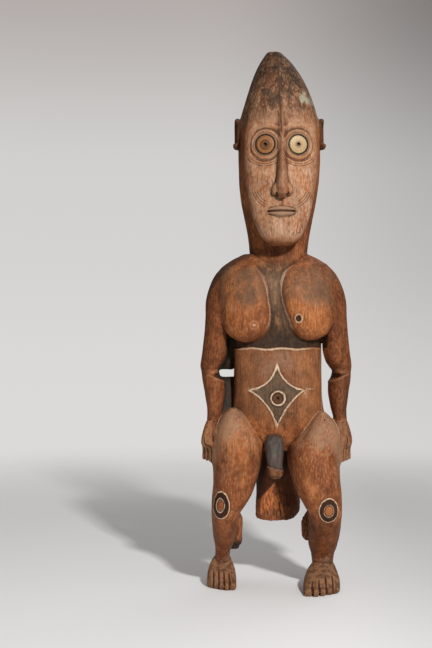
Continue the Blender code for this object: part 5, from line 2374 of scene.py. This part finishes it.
    def lines(
        self, coat: Coat, shaken: tuple[Field, Field], star: Field, navel: Field, nipple: Field
    ) -> None:
        """The pale lines on the trunk, some of them painted highlights.

        Args:
            coat: The wood.
            shaken: x and z, unsteady as a hand draws them.
            star: Distance from the star's outline.
            navel: Distance from the navel.
            nipple: Distance from the left nipple.
        """
        (x, y, z), (px, pz), chest = coat.axes, shaken, coat.net.stored("chest")
        front, ahead = smooth(y, -0.03, -0.04), smooth(y, -0.002, -0.014)
        thick = smooth(x, NAVEL[0] - 0.01, NAVEL[0] + 0.014) * (0.9 * MM)
        ring = smooth(abs(navel - NAVEL_RING + thick * 0.5) - thick, 0.8 * MM, 1.8 * MM)
        coat.draw((1 - ring) * front)
        coat.draw(band(star, 3.2 * MM, 1.0 * MM) * front)
        coat.draw(band(nipple - 8.8 * MM, 2.6 * MM, 0.9 * MM) * front * 0.9)
        faint = away(px, pz, NIPPLES[Side.RIGHT])
        coat.draw((1 - smooth(faint, 0.0014, 0.0036)) * front * 0.6)
        coat.draw(band(faint - 9 * MM, 1.4 * MM, 0.8 * MM) * front * 0.18)
        edge = chest_line(px) - pz
        mark = band(edge - 1.6 * MM, 4.2 * MM, 1.6 * MM) * smooth(abs(x + 0.009), 0.086, 0.066)
        coat.draw(mark * ahead * (0.5 + 0.36 * smooth(abs(x + 0.005), 0.06, 0.01)))
        # Painted highlight: a pale line down the belly's left edge, on the side the key lights.
        edging = band(x - 0.1, 4.2 * MM, 1.4 * MM) * span(z, 0.385, 0.4, 0.52, 0.536)
        coat.draw(edging * smooth(y, 0.012, -0.006) * 0.34)
        rim = band(chest + 1.7 * MM, 5.4 * MM, 1.4 * MM) * span(x, -0.052, -0.02, 0.03, 0.062)
        rim = rim * front * span(z, 0.565, 0.59, 0.69, 0.725)
        coat.draw(rim * (0.48 + 0.52 * smooth(x, 0.0, 0.012)))
        # A pale worn line along the groin, made brighter on the lit left side as painted
        # highlight.
        crease = band(coat.net.stored("thigh") - 1.6 * MM, 3.4 * MM, 1.2 * MM)
        crease = crease * span(z, 0.335, 0.355, 0.392, 0.4)
        coat.draw(crease * (0.34 + smooth(x, 0.0, 0.02) * 0.34))
        tail = band(pz - 0.4445, 3.0 * MM, 1.2 * MM) * span(px, 0.06, 0.064, 0.07, 0.084)
        coat.draw(tail * front * 0.5)
        smears = [blob(x, z, (-0.054, 0.4435), (0.016, 0.009))]
        smears.append(blob(x, z, (0.062, 0.439), (0.013, 0.018)))
        coat.draw(most(*smears) * coat.patches(0.47, 0.58, 300, 4, 0.35) * front * 0.5)

    def sooted(self, coat: Coat) -> None:
        """Dark marks: painted shade in the right arm's slot, a painted shadow on the stump behind
        the thighs, soot on the broken ends of the struts, dark ears and a painted shadow under the
        chin.

        Args:
            coat: The wood.
        """
        x, y, z = coat.axes
        behind = smooth(y, -0.034, -0.014)
        # Painted shade: the recessed wood at the back of the right arm's slot, darkened as if
        # unlit.
        slot = span(x, -0.136, -0.128, -0.099, -0.09) * span(z, 0.372, 0.385, 0.585, 0.605)
        ends = smooth(y, -0.013, -0.007) * span(z, 0.07, 0.074, 0.094, 0.106)
        ends = ends * span(x, -0.106, -0.1, -0.074, -0.068)
        # Painted shadow: the stump above and beside the lit triangle between the legs, where the
        # member and the left thigh cast their shadows.
        above = (z - 0.2268) * 0.63 - (x + 0.0015) * 0.77
        beside = (z - 0.2268) * 0.28 + (x + 0.0015) * 0.96
        stump_shadow = most(smooth(above, -2.0 * MM, 3.0 * MM), smooth(beside, -2.0 * MM, 3.0 * MM) * 0.8)
        stump_shadow = stump_shadow * span(y, 0.004, 0.012, 0.06, 0.08) * span(z, 0.135, 0.14, 0.335, 0.35)
        stump_shadow = stump_shadow * smooth(abs(x), 0.072, 0.064)
        # The slot's dark is painted shade; the struts' broken ends are soot.
        coat.over(most(slot * behind * 0.92, ends * 0.9), self.soot)
        coat.over(stump_shadow * 0.9, self.shaft_soot)
        ear = smooth(abs(x - FACE_X), 0.086, 0.09) * span(z, 0.97, 0.98, 1.05, 1.06)
        # Painted shadow: the neck under the chin, on the side away from the key; the ears'
        # darkening is their own grime.
        chin_shadow = span(z, 0.728, 0.745, 0.75, 0.762) * span(y, -0.1, -0.085, -0.01, 0.02)
        chin_shadow = chin_shadow * smooth(x, 0.05, 0.02)
        coat.over(most(ear * 0.72, chin_shadow * 0.45), self.throat_grime)

    def knees(self, coat: Coat, shaken: tuple[Field, Field], streaky: Field) -> None:
        """The rings on the knees: pale, black, pale, and a bare middle.

        Args:
            coat: The wood.
            shaken: x and z, unsteady as a hand draws them.
            streaky: Streaks down the wood.
        """
        (x, y, _), (px, pz) = coat.axes, shaken
        dark = coat.net.mix(streaky * 0.45, self.ring_black, self.umber)
        for knee, bare, strength in zip(KNEES, (self.red, self.orange), (0.85, 0.5)):
            own = smooth(x * knee.side.value, 0.074, 0.079) * smooth(y, -0.02, -0.035)
            reach = knee.reach(px, y, pz) / knee.radius
            coat.over(span(reach, 0.36, 0.42, 0.88, 0.94) * own * 0.94, dark)
            coat.over((1 - smooth(reach, 0.34, 0.4)) * own * 0.7, bare)
            inner = band(reach - 0.48, 0.085, 0.03) * strength
            coat.draw(most(band(reach - 0.955, 0.085, 0.025), inner) * own)


@dataclass(frozen=True)
class ShellFinish:
    """Ground and polished cone shell, cream with brown growth bands."""

    cream: Colour = (0.54, 0.36, 0.165)
    brown: Colour = (0.19, 0.09, 0.038)
    dust: Colour = (0.36, 0.25, 0.14)
    pitch: float = 5.4 * MM
    centre: float = 8.5 * MM
    banding: float = 0.6
    dusty: float = 0.25
    roughness: float = 0.32

    def material(self, name: str) -> Material:
        """The finish as a material.

        Args:
            name: The material's name.

        Returns:
            The material.
        """
        made, net = Net.material(name)
        u, v = net.stored("disc_u"), net.stored("disc_v")
        place = net.place()
        reach = (u * u + v * v) ** 0.5
        turn = net.math("ARCTAN2", v, u) / (2 * math.pi)
        shake = net.noise(place, 220, 2) * 1.2
        spiral = net.math("PINGPONG", reach / self.pitch - turn + shake * 0.2, 0.5)
        dark = smooth(spiral, 0.1, 0.02)
        heart = 1 - smooth(reach, self.centre - 2 * MM, self.centre + 1 * MM)
        colour = net.mix(dark * self.banding, self.cream, self.brown)
        colour = net.mix(heart * 0.62, colour, self.brown)
        fine = smooth(net.noise(place, 700, 2), 0.35, 0.65)
        colour = net.brightened(colour, fine * 0.22 + 0.84)
        dust = net.use(DUST, Vector=place, Cover=0.18)
        net.shade(
            Base_Color=net.mix(dust["Mask"] * self.dusty, colour, self.dust),
            Roughness=fine * 0.15 + self.roughness,
            Normal=net.bump(fine - dark, 0.3, 0.4 * MM),
        )
        return made


RIGHT_SHELL = ShellFinish(
    cream=(0.37, 0.145, 0.042),
    brown=(0.05, 0.016, 0.005),
    pitch=7.5 * MM,
    centre=12 * MM,
    banding=0.9,
    dusty=0.0,
)


@dataclass(frozen=True)
class PasteFinish:
    """Dull near-black nut and earth paste."""

    dark: Colour = (0.03, 0.024, 0.017)
    dusty: Colour = (0.125, 0.088, 0.055)
    smeared: Colour = (0.36, 0.19, 0.105)
    smear_from: float = 23.0 * MM
    gloss: float = 0.15

    def material(self) -> Material:
        """The finish as a material.

        Returns:
            The material.
        """
        made, net = Net.material("dark_paste")
        place = net.place()
        dust = net.use(DUST, Vector=place, Cover=0.42)
        colour = net.mix(dust["Mask"] * 0.7, self.dark, self.dusty)
        u, v = net.stored("disc_u"), net.stored("disc_v")
        reach = (u * u + v * v) ** 0.5 + (net.noise(place, 240, 2) - 0.5) * (2.4 * MM)
        smear = smooth(reach, self.smear_from - 0.5 * MM, self.smear_from + 0.8 * MM)
        net.shade(
            Base_Color=net.mix(smear * 0.8, colour, self.smeared),
            Roughness=dust["Speck"] * 0.2 + 0.7,
            Specular_IOR_Level=self.gloss,
            Normal=net.bump(net.noise(place, 500, 3), 0.5, 0.6 * MM),
        )
        return made


# Studio


class Lamp(NamedTuple):
    """An area light that faces the figure's middle; its turn is round from the front to +X."""

    name: str
    turn: float
    rise: float
    distance: float
    size: float
    power: float


@dataclass
class Studio:
    """Pale floor, pale surroundings, one directional key with a soft fill, and the camera."""

    camera_at: tuple[float, float, float] = (-0.135, -2.5, 0.587)
    lens: float = 36 * 2.5 / 1.458
    floor_radius: float = 5.0
    lamps: tuple[Lamp, ...] = (
        Lamp("key", math.radians(19), math.radians(30), 3.8, 0.28, 128.0),
        Lamp("rim", math.radians(150), math.radians(50), 3.0, 1.6, 9.0),
    )

    def build(self) -> None:
        """Makes the stage, the lights and the camera."""
        self.floor()
        self.surroundings()
        for lamp in self.lamps:
            self.light(lamp)
        camera = put("camera", bpy.data.cameras.new("camera"))
        camera.location = self.camera_at
        camera.rotation_euler = (math.pi / 2, 0, 0)
        camera.data.sensor_width = 36
        camera.data.lens = self.lens
        bpy.context.scene.camera = camera
        bpy.context.scene.view_settings.view_transform = "Standard"

    def light(self, lamp: Lamp) -> None:
        """Hangs one lamp.

        Args:
            lamp: Its place, size and power.
        """
        data = bpy.data.lights.new(lamp.name, "AREA")
        data.energy, data.size = lamp.power, lamp.size
        made, level = put(lamp.name, data), math.cos(lamp.rise)
        across, ahead = math.sin(lamp.turn) * level, -math.cos(lamp.turn) * level
        out = Vector((across, ahead, math.sin(lamp.rise)))
        made.location = Vector((0, 0, HEIGHT / 2)) + out * lamp.distance
        made.rotation_euler = out.to_track_quat("Z", "Y").to_euler()

    def floor(self) -> None:
        """A pale floor, painted darker towards +x as shade, that fades out into the surroundings.
        """
        sheet = bmesh.new()
        bmesh.ops.create_circle(sheet, cap_ends=True, segments=96, radius=self.floor_radius)
        mesh = bpy.data.meshes.new("floor")
        sheet.to_mesh(mesh)
        sheet.free()
        made = put("floor", mesh)
        material, net = Net.material("pale_floor")
        x, y, _ = net.split(net.place())
        # Painted shade: the floor darkens towards +x.
        base = net.brightened((0.9, 0.895, 0.89), 1 - smooth(x, 0.0, 0.5) * 0.22)
        far = 1 - smooth((x * x + y * y) ** 0.5, 0.8, self.floor_radius * 0.6)
        net.shade(Base_Color=base, Alpha=far, Roughness=0.9, Specular_IOR_Level=0.1)
        mesh.materials.append(material)

    def surroundings(self) -> None:
        """A pale grey all round, dimmer as a source of light than as a backdrop."""
        world = bpy.data.worlds.new("surroundings")
        world.use_nodes = True
        bpy.context.scene.world = world
        net = Net(world.node_tree)
        back = world.node_tree.nodes["Background"]
        seen = net.node("ShaderNodeLightPath").outputs["Is Camera Ray"]
        view = net.node("ShaderNodeTexCoord").outputs["Generated"]
        across, _, up = net.split(view)
        # Painted shade: the backdrop the camera sees darkens towards the top and towards +x.
        shade = net.mix(smooth(up, -0.08, 0.12), (0.71, 0.7, 0.69), (0.645, 0.637, 0.627))
        shade = net.mix(smooth(up, 0.12, 0.31), shade, (0.44, 0.398, 0.385))
        gloom = smooth(up, -0.14, 0.12) * 0.2 + smooth(up, 0.08, 0.3) * 0.3 + 0.08
        shade = net.brightened(shade, 1 - smooth(across, -0.02, 0.24) * gloom)
        fill = net.mix(smooth(up, 0.0, 0.9), (0.074, 0.072, 0.07), (0.36, 0.355, 0.35))
        net.feed(back.inputs["Color"], net.mix(Field(net, seen), fill, shade))
        back.inputs["Strength"].default_value = 1.0


def main() -> None:
    """Builds the figure, its eyes and the studio."""
    logging.basicConfig(level=logging.INFO, format="%(name)s: %(message)s")
    figure = CarvedFigure().build()
    figure.data.materials.clear()
    figure.data.materials.append(WoodFinish().material())
    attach(figure, "root")
    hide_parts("figure")
    LOG.info("carved figure: %d faces", len(figure.data.polygons))
    paste = PasteFinish().material()
    shells = {
        Side.RIGHT: RIGHT_SHELL.material("right_shell"),
        Side.LEFT: ShellFinish().material("left_shell"),
    }
    for side in Side:
        eye = EyeInlay(side)
        for piece, slot, node in (
            (eye.shell(shells[side]), "shell", f"{side.label}_eye_shell"),
            (eye.paste(paste), "paste", f"{side.label}_eye_paste"),
        ):
            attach(piece, "root")
            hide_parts(node)
            LOG.info("%s: %d faces", piece.name, len(piece.data.polygons))
    Studio().build()


if __name__ == "__main__":
    main()
